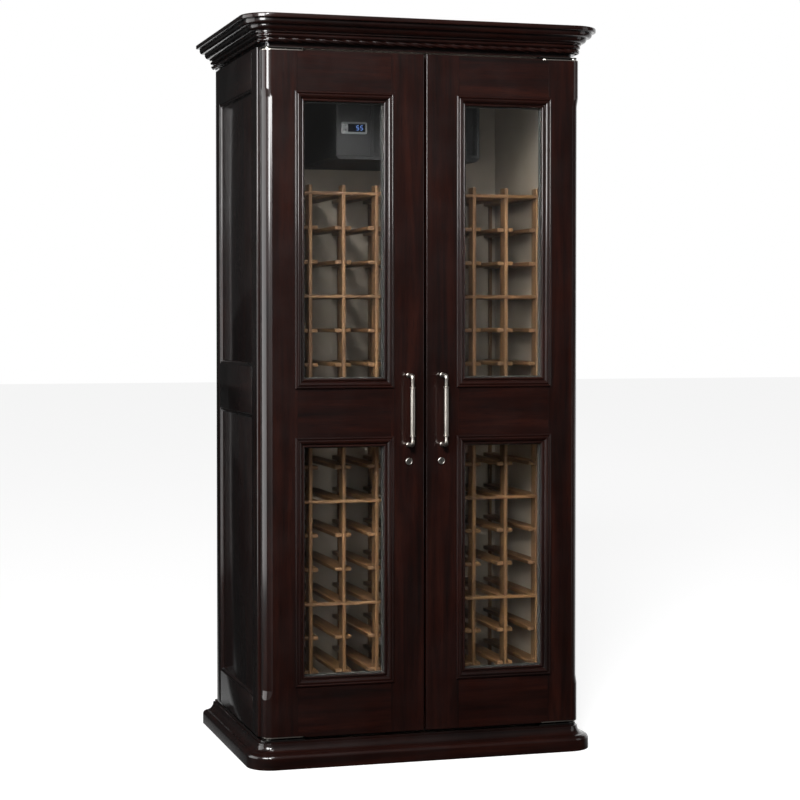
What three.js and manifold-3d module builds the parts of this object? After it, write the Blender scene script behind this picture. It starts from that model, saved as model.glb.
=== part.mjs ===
// Two-door wine cabinet: an insulated case in a wooden skin, with bottle racks and a cooling unit.
// Millimetres, +Z up. The doors' faces lie on y = 0 while a piece is made; the whole is centred last.
import * as THREE from "three";
import { mergeVertices } from "three/addons/utils/BufferGeometryUtils.js";
import Module from "manifold-3d";

const wasm = await Module();
wasm.setup();

// Overall sizes
const cabinetHeight = 1883;
const doorPairHalf = 422;
const sideHalf = 428;
const caseBack = 615;
const sideBackInset = 50;
const sideFrameBack = caseBack - sideBackInset;

// Clearances
const seatGap = 0.3;
const doorGapHalf = 3;
const cutOverrun = 2;
const weldDistance = 0.0001;

// Plinth; its outline runs inwards from the outermost face and up from the floor
const plinthHeight = 66;
const plinthHalf = 458.5;
const plinthReach = 24;
const plinthRadius = 64;
const plinthSkinDepth = 48;
const plinthRailWidth = 90;
const plinthOutline = [
  [0, 0], [0, 27], [1.5, 30.5], [5, 34.5], [9, 37], [11, 38.5], [15, 40], [20, 42],
  [24, 46], [27, 52], [29, 58], [31, 60.5], [34, 60.5], [34, 64], [36, 66],
];

// Cornice; its outline runs outwards from the sides' faces and up from its underside
const corniceHeight = 77;
const corniceBottom = cabinetHeight - corniceHeight;
const corniceFront = 7;
const corniceRadius = 30;
const corniceSkinDepth = 20;
const ropeSeat = -3.3;
const ropeSeatLow = 10.5;
const ropeSeatHigh = 22.2;
const corniceOutline = [
  [-15, 0], [-15, ropeSeatLow], [ropeSeat, ropeSeatLow], [ropeSeat, ropeSeatHigh],
  [0, ropeSeatHigh], [0, 23.6], [3, 24.6], [4.6, 27.4], [4.6, 29], [3, 31.6], [0.8, 32.6],
  [0.8, 33.6], [7.2, 34.4], [7.2, 37.6], [16, 39], [16.8, 43], [18.4, 47], [21, 50.2],
  [33.5, 51], [35, 52.5], [35, 62.5], [34, 65], [41, 65.3], [44.2, 66.5], [45, 68.5],
  [45, 74.5], [43.5, 76.4], [41, 77],
];
const ropeRadius = 5.5;
const ropeSteps = 8;
const cornerSteps = 8;

// Insulated case behind the doors
const doorThickness = 38;
const sealDepth = 6;
const caseFront = doorThickness + sealDepth;
const sideThickness = 20;
const caseHalf = sideHalf - sideThickness - seatGap;
const wallThickness = 35.7;
const linerHalf = caseHalf - wallThickness;
const floorThickness = 48.7;
const linerFloor = plinthHeight + seatGap + floorThickness;
const ceilingDrop = 69;
const linerCeiling = corniceBottom - ceilingDrop;
const ceilingSink = 17;
const ceilingTop = cabinetHeight - ceilingSink;
const backInset = 80;
const linerBack = caseBack - backInset;
const backPanelThickness = 55;
const ventCount = 9;
const ventWidth = 240;
const ventHeight = 8;
const ventPitch = 18;
const ventDepth = 12;
const ventTopInset = 37;
const ventTop = linerCeiling - ventTopInset;

// Side frames and their panels
const sideBottomGap = 8;
const sideBottom = plinthHeight + sideBottomGap;
const sideTop = corniceBottom - seatGap;
const sideArris = 4;
const frontStileWidth = 64;
const rearStileWidth = 49;
const sideBottomRail = 90;
const lowerPanelHeight = 721.5;
const sideMiddleRail = 121;
const sideTopRail = 96.7;
const lowerPanelLow = sideBottom + sideBottomRail;
const lowerPanelHigh = lowerPanelLow + lowerPanelHeight;
const sideOpenings = {
  upper: { low: lowerPanelHigh + sideMiddleRail, high: sideTop - sideTopRail },
  lower: { low: lowerPanelLow, high: lowerPanelHigh },
};
const panelRebate = 10;
const panelThickness = 8;
const stickingDepth = 8;
const stickingWidth = 7;

// Doors
const doorBottomGap = 9;
const doorTopGap = 7.5;
const doorBottom = plinthHeight + doorBottomGap;
const doorTop = corniceBottom - doorTopGap;
const doorArris = 3;
const arrisSteps = 4;
const edgeRadius = 23;
const edgeSteps = 8;
const flatEnd = doorPairHalf - edgeRadius;
const innerStile = 80.5;
const outerStile = 81;
const windowInner = doorGapHalf + innerStile;
const windowOuter = doorPairHalf - outerStile;
const bottomRail = 127;
const lowerWindowHeight = 627.5;
const lockRail = 122.5;
const topRail = 102;
const lowerWindowBottom = doorBottom + bottomRail;
const lowerWindowTop = lowerWindowBottom + lowerWindowHeight;
const windows = {
  upper: { bottom: lowerWindowTop + lockRail, top: doorTop - topRail },
  lower: { bottom: lowerWindowBottom, top: lowerWindowTop },
};
const mouldingWidth = 25;
const mouldingLap = 7;
const mouldingRise = 6;
const mouldingSeat = 10;
const mouldingOutlineShares = [
  [0, 0.05], [0, 0.58], [0.04, 0.87], [0.12, 1], [0.2, 0.87], [0.24, 0.58],
  [0.36, 0.92], [0.52, 0.75], [0.64, 0.25], [0.7, -0.33], [0.72, -0.67],
  [0.76, -0.37], [0.86, -0.23], [0.96, -0.37], [1, -0.75],
];
const glassThickness = 20;
const rebateLip = 10;

// Reeds cut into the doors' rounded edges, which run out near both ends
const reedCount = 3;
const reedSteps = 8;
const reedSink = 2.4;
const reedDepth = 2.6;
const reedEndInset = 120;
const reedRunOut = 36;
const reedLift = 1;
const reedBottom = doorBottom + reedEndInset;
const reedTop = doorTop - reedEndInset;

// Door seals
const gasketWidth = 16;
const gasketHingeInset = 26;
const gasketCentreInset = 1;
const gasketTopInset = 25;
const gasketBottomInset = 17;

// Pivot hinges at the outer corners
const pivotInset = 15;
const pivotDepth = 14;
const pivotX = doorPairHalf - pivotInset;
const leafLength = 106;
const leafThickness = 2.6;
const leafInset = 0.4;
const plateThickness = 3;
const plateInset = 4;
const plateFront = 8;
const plateBackInset = 2;
const plateBack = caseFront - plateBackInset;
const pinRadius = 3.9;
const pinReach = 7;
const pinClearance = 0.3;
const shoulderRadius = 6;
const roundSides = 24;
const handleSides = 16;

// Handles
const handleX = 44.5;
const handleDrop = 29.5;
const handleReach = 36.5;
const gripRadius = 6;
const collarRadius = 7.5;
const collarLength = 5;
const neckRadius = 4;
const lowerNeckLength = 29.5;
const gripLength = 126;
const upperNeckLength = 36;
const handleBottom = lowerWindowTop - handleDrop;
const gripBottom = handleBottom + lowerNeckLength;
const gripTop = gripBottom + gripLength;
const handleTop = gripTop + upperNeckLength;
const footRadius = 6;
const footThickness = 3;

// Locks
const lockX = 43.3;
const lockDrop = 65;
const lockZ = lowerWindowTop - lockDrop;
const lockRimRadius = 9;
const lockRimThickness = 2;
const lockRadius = 7.5;
const lockTipRadius = 6;
const camLength = 28;
const camWidth = 8;
const camThickness = 3;
const camLead = 3;
const camFront = caseFront + camLead;
const camBack = camFront + camThickness;
const lockNose = 1.5;
const lockBack = camBack + lockNose;
const camClearance = 0.8;
const keywayWidth = 1.4;
const keywayHeight = 7;
const keywayDepth = 4;

// Centre mullion
const mullionHalf = 22;
const mullionDepth = 40;

// Cooling unit
const coolerHalf = 195;
const coolerFrontInset = 109;
const coolerHeight = 196;
const coolerFront = caseFront + coolerFrontInset;
const coolerBottom = linerCeiling - coolerHeight;
const coolerEdge = 8;
const coverThickness = 3;
const controlWidth = 91;
const bezelWidth = 68.5;
const bezelHeight = 31;
const bezelRise = 3;
const bezelLeft = 13;
const bezelLift = 65;
const bezelBottom = coolerBottom + bezelLift;
const screenWidth = 46;
const screenHeight = 21;
const screenDepth = 1.5;
const keyWidth = 9;
const keyHeight = 8;
const keyTravel = 1;
const keyRise = 1.4;
const keyPitch = 12;
const keyClearance = 0.3;
const keyStemDepth = 3;
const plenumDepth = 26;
const plenumMargin = 10;
const slotColumns = 6;
const slotRows = 9;
const slotBarWidth = 8;

// Bottle rack
const rackFrontInset = 96;
const rackBackGap = 10;
const rackTopGap = 68;
const rackFront = caseFront + rackFrontInset;
const rackBack = linerBack - rackBackGap;
const rackTop = coolerBottom - rackTopGap;
const uprightWidth = 11;
const frontUprightDepth = 38;
const ladderPitch = 88.9;
const ladderCount = Math.floor((linerHalf * 2 - uprightWidth) / ladderPitch) + 1;
const railWidth = 43;
const railHeight = 10;
const railSetBack = 9;
const topRowInset = 21.6;
const topRow = rackTop - topRowInset;
const rowPitch = 88.6;
const rowCount = Math.floor((topRow - linerFloor) / rowPitch);
const crossbarHeight = 8;
const crossbarDepth = 8;
const crossbarCount = 5;
const crossbarEvery = Math.floor(rowCount / crossbarCount);

// Finishes
const mahogany = new THREE.MeshStandardMaterial({ color: 0x3a2022, roughness: 0.25 });
const rackWood = new THREE.MeshStandardMaterial({ color: 0x9a7650, roughness: 0.6 });
const liner = new THREE.MeshStandardMaterial({ color: 0x8a8070, roughness: 0.7 });
const glazing = new THREE.MeshStandardMaterial({
  color: 0xaab4b0,
  roughness: 0.05,
  transparent: true,
  opacity: 0.3,
});
const nickel = new THREE.MeshStandardMaterial({ color: 0xb8b6b0, roughness: 0.25, metalness: 1 });
const rubber = new THREE.MeshStandardMaterial({ color: 0x1c1a18, roughness: 0.8 });
const charcoal = new THREE.MeshStandardMaterial({ color: 0x24262a, roughness: 0.5 });

// Solids and meshes
function turnedOut(geometry) {
  const spots = geometry.getAttribute("position");
  const order = geometry.getIndex().array;
  const a = new THREE.Vector3();
  const b = new THREE.Vector3();
  const c = new THREE.Vector3();
  let volume = 0;
  for (let i = 0; i < order.length; i += 3) {
    a.fromBufferAttribute(spots, order[i]);
    b.fromBufferAttribute(spots, order[i + 1]);
    c.fromBufferAttribute(spots, order[i + 2]);
    volume += a.dot(b.cross(c));
  }
  if (volume < 0) order.reverse();
  return geometry;
}

function block(x0, x1, y0, y1, z0, z1) {
  const box = new THREE.BoxGeometry(x1 - x0, y1 - y0, z1 - z0);
  return box.translate((x0 + x1) / 2, (y0 + y1) / 2, (z0 + z1) / 2);
}

function solidOf(geometry) {
  geometry.deleteAttribute("normal");
  geometry.deleteAttribute("uv");
  const merged = mergeVertices(geometry, weldDistance);
  return new wasm.Manifold(
    new wasm.Mesh({
      numProp: 3,
      vertProperties: new Float32Array(merged.getAttribute("position").array),
      triVerts: new Uint32Array(merged.getIndex().array),
    }),
  );
}

function geometryOf(solid) {
  const mesh = solid.getMesh();
  const geometry = new THREE.BufferGeometry();
  geometry.setAttribute("position", new THREE.BufferAttribute(mesh.vertProperties, 3));
  geometry.setIndex(new THREE.BufferAttribute(mesh.triVerts, 1));
  return geometry;
}

function joined(base, additions) {
  return additions.reduce((solid, piece) => solid.add(solidOf(piece)), base);
}

function cutAway(base, cutters) {
  return cutters.reduce((solid, piece) => solid.subtract(solidOf(piece)), base);
}

function mirrored(geometry) {
  const copy = geometry.clone();
  copy.scale(-1, 1, 1);
  copy.getIndex().array.reverse();
  return copy;
}

function extruded(outline, length) {
  return new THREE.ExtrudeGeometry(new THREE.Shape(outline), { depth: length, bevelEnabled: false });
}

// Joins rings with the same number of points into one closed body; a loop has no end caps
function lofted(rings, isLoop, capOutline) {
  const count = rings[0].length;
  const spots = rings.flat().flatMap((spot) => [spot.x, spot.y, spot.z]);
  const order = [];
  const spans = isLoop ? rings.length : rings.length - 1;
  for (let i = 0; i < spans; i += 1) {
    const near = i * count;
    const far = ((i + 1) % rings.length) * count;
    for (let j = 0; j < count; j += 1) {
      const next = (j + 1) % count;
      order.push(near + j, far + j, near + next);
      order.push(near + next, far + j, far + next);
    }
  }
  if (!isLoop) {
    const caps = THREE.ShapeUtils.triangulateShape(capOutline, []);
    const last = (rings.length - 1) * count;
    const turns = THREE.ShapeUtils.area(capOutline) > 0;
    for (const [a, b, c] of caps) {
      order.push(...(turns ? [a, b, c] : [c, b, a]));
      order.push(...(turns ? [last + c, last + b, last + a] : [last + a, last + b, last + c]));
    }
  }
  const geometry = new THREE.BufferGeometry();
  geometry.setAttribute("position", new THREE.Float32BufferAttribute(spots, 3));
  geometry.setIndex(new THREE.BufferAttribute(new Uint32Array(order), 1));
  return turnedOut(geometry);
}

// A moulding that runs up one side, round two front corners and down the other side.
// The outline's x is the distance outwards from the wall and its y is the height.
function wrappedMoulding(outline, wallHalf, wallFront, wallRadius, back) {
  const centreX = wallHalf - wallRadius;
  const centreY = wallFront + wallRadius;
  const stations = [[centreX, back, 0]];
  for (let i = 0; i <= cornerSteps; i += 1) {
    stations.push([centreX, centreY, (-Math.PI / 2) * (i / cornerSteps)]);
  }
  for (let i = 0; i <= cornerSteps; i += 1) {
    stations.push([-centreX, centreY, (-Math.PI / 2) * (1 + i / cornerSteps)]);
  }
  stations.push([-centreX, back, -Math.PI]);
  const rings = stations.map(([x, y, angle]) =>
    outline.map(([out, height]) => {
      const reach = wallRadius + out;
      return new THREE.Vector3(x + reach * Math.cos(angle), y + reach * Math.sin(angle), height);
    }),
  );
  return lofted(rings, false, outline.map(([out, height]) => new THREE.Vector2(out, height)));
}

// A rectangular frame with mitred corners, upright in the x-z plane.
// The outline's x is the distance inwards from the outer edge and its y is the depth.
function mitredFrame(outline, left, right, bottom, top) {
  const corners = [[left, bottom, 1, 1], [right, bottom, -1, 1], [right, top, -1, -1], [left, top, 1, -1]];
  const rings = corners.map(([x, z, inX, inZ]) =>
    outline.map(([inset, depth]) => new THREE.Vector3(x + inX * inset, depth, z + inZ * inset)),
  );
  return lofted(rings, true);
}

function scaledOutline(shares, width, height) {
  return shares.map(([across, up]) => [across * width, up * height]);
}

// A round bar along z, described by pairs of radius and height
function turned(profile, sides) {
  const points = profile.map(([radius, height]) => new THREE.Vector2(radius, height));
  return new THREE.LatheGeometry(points, sides).rotateX(Math.PI / 2);
}

// The same along y, front to back
function turnedAlongY(profile, sides) {
  const points = profile.map(([radius, depth]) => new THREE.Vector2(radius, depth));
  return new THREE.LatheGeometry(points, sides);
}

const cabinet = new THREE.Group();

function place(name, geometry, material) {
  const mesh = new THREE.Mesh(geometry, material);
  mesh.name = name;
  cabinet.add(mesh);
}

function placePair(name, geometry, material) {
  place(`${name}_right`, geometry, material);
  place(`${name}_left`, mirrored(geometry), material);
}

// Plinth: a moulded skin on three sides round a base frame
function makePlinth() {
  const wallHalf = plinthHalf - plinthSkinDepth;
  const wallFront = plinthSkinDepth - plinthReach;
  const outline = plinthOutline.map(([inset, height]) => [plinthSkinDepth - inset, height]);
  outline.push([0, plinthHeight], [0, 0]);
  const skin = wrappedMoulding(outline, wallHalf, wallFront, plinthRadius - plinthSkinDepth, caseBack);
  const frameHalf = wallHalf + cutOverrun;
  const frameFront = wallFront - cutOverrun;
  const frame = block(-frameHalf, frameHalf, frameFront, caseBack, 0, plinthHeight);
  const innerHalf = plinthHalf - plinthRailWidth;
  const innerFront = plinthRailWidth - plinthReach;
  const innerBack = caseBack - plinthRailWidth;
  const hollow = block(-innerHalf, innerHalf, innerFront, innerBack, -cutOverrun, plinthHeight + cutOverrun);
  const solid = cutAway(joined(solidOf(skin), [frame]), [hollow]);
  place("plinth_moulding", geometryOf(solid), mahogany);
}

// Cornice and the rope that lies in its seat
function makeCornice() {
  const raised = corniceOutline.map(([out, height]) => [out, corniceBottom + height]);
  raised.push([-corniceSkinDepth, cabinetHeight], [-corniceSkinDepth, corniceBottom]);
  const moulding = wrappedMoulding(raised, sideHalf, corniceFront, corniceRadius, caseBack);
  place("cornice_moulding", moulding, mahogany);
}

function makeRope() {
  const seat = ropeSeat + seatGap;
  const middle = corniceBottom + (ropeSeatLow + ropeSeatHigh) / 2;
  const outline = [];
  for (let i = 0; i <= ropeSteps; i += 1) {
    const angle = -Math.PI / 2 + (Math.PI * i) / ropeSteps;
    outline.push([seat + ropeRadius * Math.cos(angle), middle + ropeRadius * Math.sin(angle)]);
  }
  const rope = wrappedMoulding(outline, sideHalf, corniceFront, corniceRadius, caseBack);
  place("rope_moulding", rope, mahogany);
}

// Insulated case
function makeFloorPanel() {
  const base = plinthHeight + seatGap;
  place("floor_panel", block(-caseHalf, caseHalf, caseFront, caseBack, base, linerFloor), liner);
}

function makeCeilingPanel() {
  const noseFront = corniceFront + corniceRadius + seatGap;
  const outline = [
    new THREE.Vector2(caseFront, linerCeiling),
    new THREE.Vector2(caseBack, linerCeiling),
    new THREE.Vector2(caseBack, ceilingTop),
    new THREE.Vector2(noseFront, ceilingTop),
    new THREE.Vector2(noseFront, corniceBottom),
    new THREE.Vector2(caseFront, corniceBottom),
  ];
  const slab = extruded(outline, caseHalf * 2);
  slab.rotateX(Math.PI / 2).rotateZ(Math.PI / 2);
  place("ceiling_panel", slab.translate(-caseHalf, 0, 0), liner);
}

function makeInsulatedWalls() {
  const bottom = linerFloor + seatGap;
  const top = linerCeiling - seatGap;
  placePair("insulated_wall", block(linerHalf, caseHalf, caseFront, linerBack, bottom, top), liner);
}

function makeBackPanel() {
  const front = linerBack + seatGap;
  const back = front + backPanelThickness;
  const bottom = linerFloor + seatGap;
  const vents = [];
  for (let i = 0; i < ventCount; i += 1) {
    const top = ventTop - i * ventPitch;
    const depth = back - ventDepth;
    vents.push(block(-ventWidth / 2, ventWidth / 2, depth, back + cutOverrun, top - ventHeight, top));
  }
  const slab = block(-caseHalf, caseHalf, front, back, bottom, linerCeiling - seatGap);
  place("back_panel", geometryOf(cutAway(solidOf(slab), vents)), liner);
}

function makeMullion() {
  const bottom = linerFloor + seatGap;
  const back = caseFront + mullionDepth;
  const bar = block(-mullionHalf, mullionHalf, caseFront, back, bottom, linerCeiling - seatGap);
  const slotTip = lockX - camLength - camClearance;
  const slotFront = camFront - camClearance;
  const slotBack = camBack + camClearance;
  const slotBottom = lockZ - camWidth / 2 - camClearance;
  const reachUp = Math.sqrt(camLength ** 2 - (lockX - mullionHalf) ** 2);
  const slotTop = lockZ + reachUp + camWidth / 2 + camClearance;
  const edge = mullionHalf + cutOverrun;
  const slots = [
    block(slotTip, edge, slotFront, slotBack, slotBottom, slotTop),
    block(-edge, -slotTip, slotFront, slotBack, slotBottom, slotTop),
  ];
  place("centre_mullion", geometryOf(cutAway(solidOf(bar), slots)), mahogany);
}

// Side frames: stiles and rails round two recessed panels
function frameOpening(low, high) {
  const front = caseFront + frontStileWidth;
  const back = sideFrameBack - rearStileWidth;
  const inner = sideHalf - sideThickness;
  const rebateX = inner + panelThickness + seatGap;
  const through = block(inner - cutOverrun, sideHalf + cutOverrun, front, back, low, high);
  const rebate = block(
    inner - cutOverrun,
    rebateX,
    front - panelRebate,
    back + panelRebate,
    low - panelRebate,
    high + panelRebate,
  );
  const narrow = { x: sideHalf - stickingDepth, grow: 0 };
  const wide = { x: sideHalf + seatGap, grow: stickingWidth };
  const rings = [narrow, wide].map(({ x, grow }) => [
    new THREE.Vector3(x, front - grow, low - grow),
    new THREE.Vector3(x, back + grow, low - grow),
    new THREE.Vector3(x, back + grow, high + grow),
    new THREE.Vector3(x, front - grow, high + grow),
  ]);
  const square = rings[0].map((spot) => new THREE.Vector2(spot.y, spot.z));
  return [through, rebate, lofted(rings, false, square)];
}

function makeSideFrames() {
  const inner = sideHalf - sideThickness;
  const outline = [new THREE.Vector2(inner, sideFrameBack), new THREE.Vector2(inner, caseFront)];
  for (let i = 0; i <= arrisSteps; i += 1) {
    const turn = (Math.PI / 2) * (i / arrisSteps);
    const x = sideHalf - sideArris * (1 - Math.sin(turn));
    outline.push(new THREE.Vector2(x, caseFront + sideArris * (1 - Math.cos(turn))));
  }
  outline.push(new THREE.Vector2(sideHalf, sideFrameBack));
  const board = extruded(outline, sideTop - sideBottom).translate(0, 0, sideBottom);
  const openings = Object.values(sideOpenings).flatMap(({ low, high }) => frameOpening(low, high));
  placePair("side_frame", geometryOf(cutAway(solidOf(board), openings)), mahogany);
}

function makeSidePanels() {
  const inner = sideHalf - sideThickness;
  const front = caseFront + frontStileWidth - panelRebate + seatGap;
  const back = sideFrameBack - rearStileWidth + panelRebate - seatGap;
  const margin = panelRebate - seatGap;
  for (const [row, { low, high }] of Object.entries(sideOpenings)) {
    const board = block(inner, inner + panelThickness, front, back, low - margin, high + margin);
    placePair(`side_panel_${row}`, board, mahogany);
  }
}

// Doors
function doorBoard() {
  const left = doorGapHalf;
  const outline = [];
  for (let i = 0; i <= arrisSteps; i += 1) {
    const turn = (Math.PI / 2) * (i / arrisSteps);
    const inset = doorArris * (1 - Math.sin(turn));
    outline.push(new THREE.Vector2(left + doorArris * (1 - Math.cos(turn)), inset));
  }
  outline.push(...roundedEdge(0, 0));
  outline.push(new THREE.Vector2(doorPairHalf, doorThickness), new THREE.Vector2(left, doorThickness));
  return extruded(outline, doorTop - doorBottom).translate(0, 0, doorBottom);
}

// The quarter round at a door's outer edge, moved inwards and started at a given depth
function roundedEdge(inset, front) {
  const radius = edgeRadius - inset;
  const start = Math.acos(Math.min((edgeRadius - front) / radius, 1));
  const points = [];
  for (let i = 0; i <= edgeSteps; i += 1) {
    const turn = start + (Math.PI / 2 - start) * (i / edgeSteps);
    points.push(new THREE.Vector2(flatEnd + radius * Math.sin(turn), edgeRadius - radius * Math.cos(turn)));
  }
  return points;
}

// What the reeds take from a door's edge; it lifts out of the wood at both ends
function reedCutter() {
  const quarter = (edgeRadius * Math.PI) / 2;
  const reedPitch = (quarter + doorThickness - edgeRadius) / reedCount;
  const deepest = reedSink + reedDepth;
  const levels = [
    [reedBottom - reedRunOut, -reedLift],
    [reedBottom, deepest],
    [reedTop, deepest],
    [reedTop + reedRunOut, -reedLift],
  ];
  const outside = doorPairHalf + reedLift * 10;
  const rings = levels.map(([height, valley]) => {
    const outline = [];
    for (let i = 0; i <= reedCount * reedSteps; i += 1) {
      const along = (reedPitch * i) / reedSteps;
      const turn = Math.min(along, quarter) / edgeRadius;
      const radius = edgeRadius - valley + reedDepth * Math.abs(Math.sin((Math.PI * i) / reedSteps));
      const x = flatEnd + radius * Math.sin(turn);
      outline.push([x, edgeRadius - radius * Math.cos(turn) + Math.max(along - quarter, 0)]);
    }
    outline.push([outside - reedLift, doorThickness + cutOverrun], [outside, -outside / 10], [flatEnd - 0.1, -cutOverrun * 4]);
    return outline.map(([x, y]) => new THREE.Vector3(x, y, height));
  });
  const cap = rings[0].map((spot) => new THREE.Vector2(spot.x, spot.y));
  return lofted(rings, false, cap);
}

function glassFront() {
  return mouldingSeat + seatGap;
}

function windowCuts({ top, bottom }) {
  const lip = mouldingLap + rebateLip;
  const lipFront = glassFront() + glassThickness + seatGap;
  const front = block(
    windowInner + mouldingLap,
    windowOuter - mouldingLap,
    -cutOverrun,
    lipFront,
    bottom + mouldingLap,
    top - mouldingLap,
  );
  const back = block(
    windowInner + lip,
    windowOuter - lip,
    0,
    doorThickness + cutOverrun,
    bottom + lip,
    top - lip,
  );
  return [front, back];
}

function hingeCuts() {
  const leafStart = doorPairHalf - leafLength - seatGap;
  const edge = doorPairHalf + cutOverrun;
  const depth = edgeRadius + seatGap;
  const sink = leafThickness + seatGap;
  const pinDepth = pinReach + pinClearance;
  const radius = pinRadius + pinClearance;
  const pocket = [[0, 0], [radius, 0], [radius, pinDepth + cutOverrun], [0, pinDepth + cutOverrun]];
  const low = turned(pocket, roundSides).translate(pivotX, pivotDepth, doorBottom - cutOverrun);
  const high = turned(pocket, roundSides).translate(pivotX, pivotDepth, doorTop - pinDepth);
  return [
    block(leafStart, edge, -cutOverrun, depth, doorTop - sink, doorTop + cutOverrun),
    block(leafStart, edge, -cutOverrun, depth, doorBottom - cutOverrun, doorBottom + sink),
    low,
    high,
  ];
}

function lockBore() {
  const radius = lockRadius + seatGap;
  const depth = doorThickness + cutOverrun;
  const bore = [[0, -cutOverrun], [radius, -cutOverrun], [radius, depth], [0, depth]];
  return turnedAlongY(bore, roundSides).translate(lockX, 0, lockZ);
}

function makeDoorFrames() {
  const openings = Object.values(windows).flatMap(windowCuts);
  const cutters = [reedCutter(), ...openings, ...hingeCuts(), lockBore()];
  placePair("door_frame", geometryOf(cutAway(solidOf(doorBoard()), cutters)), mahogany);
}

function makeGlazing() {
  const outline = scaledOutline(mouldingOutlineShares, mouldingWidth, -mouldingRise);
  outline.push([mouldingWidth, mouldingSeat]);
  outline.push([mouldingLap + seatGap, mouldingSeat]);
  outline.push([mouldingLap + seatGap, -seatGap]);
  const edge = mouldingLap + seatGap;
  for (const [row, { top, bottom }] of Object.entries(windows)) {
    const moulding = mitredFrame(outline, windowInner, windowOuter, bottom, top);
    placePair(`glazing_moulding_${row}`, moulding, mahogany);
    const front = glassFront();
    const pane = block(
      windowInner + edge,
      windowOuter - edge,
      front,
      front + glassThickness,
      bottom + edge,
      top - edge,
    );
    placePair(`glass_${row}`, pane, glazing);
  }
}

function makeGaskets() {
  const front = doorThickness + seatGap;
  const back = caseFront - seatGap;
  const outline = [[0, front], [0, back], [gasketWidth, back], [gasketWidth, front]];
  const left = doorGapHalf + gasketCentreInset;
  const right = doorPairHalf - gasketHingeInset;
  const bottom = doorBottom + gasketBottomInset;
  placePair("gasket", mitredFrame(outline, left, right, bottom, doorTop - gasketTopInset), rubber);
}

// Hinges: a leaf let into each end of the door, and a plate with the pin on the case
function makeHingeLeaves() {
  const radius = pinRadius + pinClearance;
  const span = leafThickness + cutOverrun * 2;
  const hole = [[0, 0], [radius, 0], [radius, span], [0, span]];
  const leafStart = doorPairHalf - leafLength;
  const outline = [
    new THREE.Vector2(leafStart, edgeRadius),
    new THREE.Vector2(leafStart, leafInset),
    ...roundedEdge(leafInset, leafInset),
  ];
  const ends = { top: doorTop - leafThickness, bottom: doorBottom };
  for (const [end, low] of Object.entries(ends)) {
    const strip = extruded(outline, leafThickness).translate(0, 0, low);
    const cutter = turned(hole, roundSides).translate(pivotX, pivotDepth, low - cutOverrun);
    placePair(`hinge_leaf_${end}`, geometryOf(cutAway(solidOf(strip), [cutter])), nickel);
  }
}

function pivotPlate(plateSeat, leafFace, towardsDoor) {
  const plateFace = plateSeat + towardsDoor * plateThickness;
  const tip = leafFace + towardsDoor * pinReach;
  const leafStart = doorPairHalf - leafLength;
  const low = Math.min(plateSeat, plateFace);
  const outline = [
    new THREE.Vector2(leafStart, plateBack),
    new THREE.Vector2(leafStart, plateFront),
    ...roundedEdge(plateInset, plateFront),
    new THREE.Vector2(doorPairHalf - plateInset, plateBack),
  ];
  const strip = extruded(outline, plateThickness).translate(0, 0, low);
  const profile = [
    [0, plateSeat],
    [shoulderRadius, plateSeat],
    [shoulderRadius, leafFace - towardsDoor * seatGap],
    [pinRadius, leafFace - towardsDoor * seatGap],
    [pinRadius, tip],
    [0, tip],
  ];
  if (towardsDoor < 0) profile.reverse();
  const pin = turned(profile, roundSides).translate(pivotX, pivotDepth, 0);
  return geometryOf(joined(solidOf(strip), [pin]));
}

function makePivotPlates() {
  placePair("pivot_plate_top", pivotPlate(corniceBottom - seatGap, doorTop, -1), nickel);
  placePair("pivot_plate_bottom", pivotPlate(plinthHeight + seatGap, doorBottom, 1), nickel);
}

// Handles: an upright grip between collars, on two posts
function makeHandles() {
  const profile = [
    [0, handleBottom],
    [neckRadius, handleBottom],
    [neckRadius, gripBottom],
    [collarRadius, gripBottom],
    [collarRadius, gripBottom + collarLength],
    [gripRadius, gripBottom + collarLength],
    [gripRadius, gripTop - collarLength],
    [collarRadius, gripTop - collarLength],
    [collarRadius, gripTop],
    [neckRadius, gripTop],
    [neckRadius, handleTop],
    [0, handleTop],
  ];
  const bar = turned(profile, handleSides).translate(handleX, -handleReach, 0);
  const post = [
    [0, -handleReach],
    [neckRadius, -handleReach],
    [neckRadius, -footThickness],
    [footRadius, -footThickness],
    [footRadius, -seatGap],
    [0, -seatGap],
  ];
  const heights = [handleBottom + neckRadius * 2, handleTop - neckRadius * 2];
  const posts = heights.map((height) => turnedAlongY(post, handleSides).translate(handleX, 0, height));
  placePair("handle", geometryOf(joined(solidOf(bar), posts)), nickel);
}

// Locks: a key cylinder that turns a cam into the mullion's slot
function makeLocks() {
  const face = -seatGap - lockRimThickness;
  const profile = [
    [0, face],
    [lockRimRadius, face],
    [lockRimRadius, -seatGap],
    [lockRadius, -seatGap],
    [lockRadius, camFront],
    [lockTipRadius, lockBack],
    [0, lockBack],
  ];
  const barrel = turnedAlongY(profile, roundSides).translate(lockX, 0, lockZ);
  const cam = block(lockX - camWidth / 2, lockX + camWidth / 2, camFront, camBack, lockZ, lockZ + camLength);
  const keyway = block(
    lockX - keywayWidth / 2,
    lockX + keywayWidth / 2,
    face - cutOverrun,
    face + keywayDepth,
    lockZ - keywayHeight / 2,
    lockZ + keywayHeight / 2,
  );
  const solid = cutAway(joined(solidOf(barrel), [cam]), [keyway]);
  placePair("lock", geometryOf(solid), nickel);
}

// Bottle rack: ladders of rails, tied by crossbars let into their fronts
function crossbarHeights() {
  return Array.from({ length: crossbarCount }, (_, i) => topRow - i * crossbarEvery * rowPitch);
}

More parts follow.
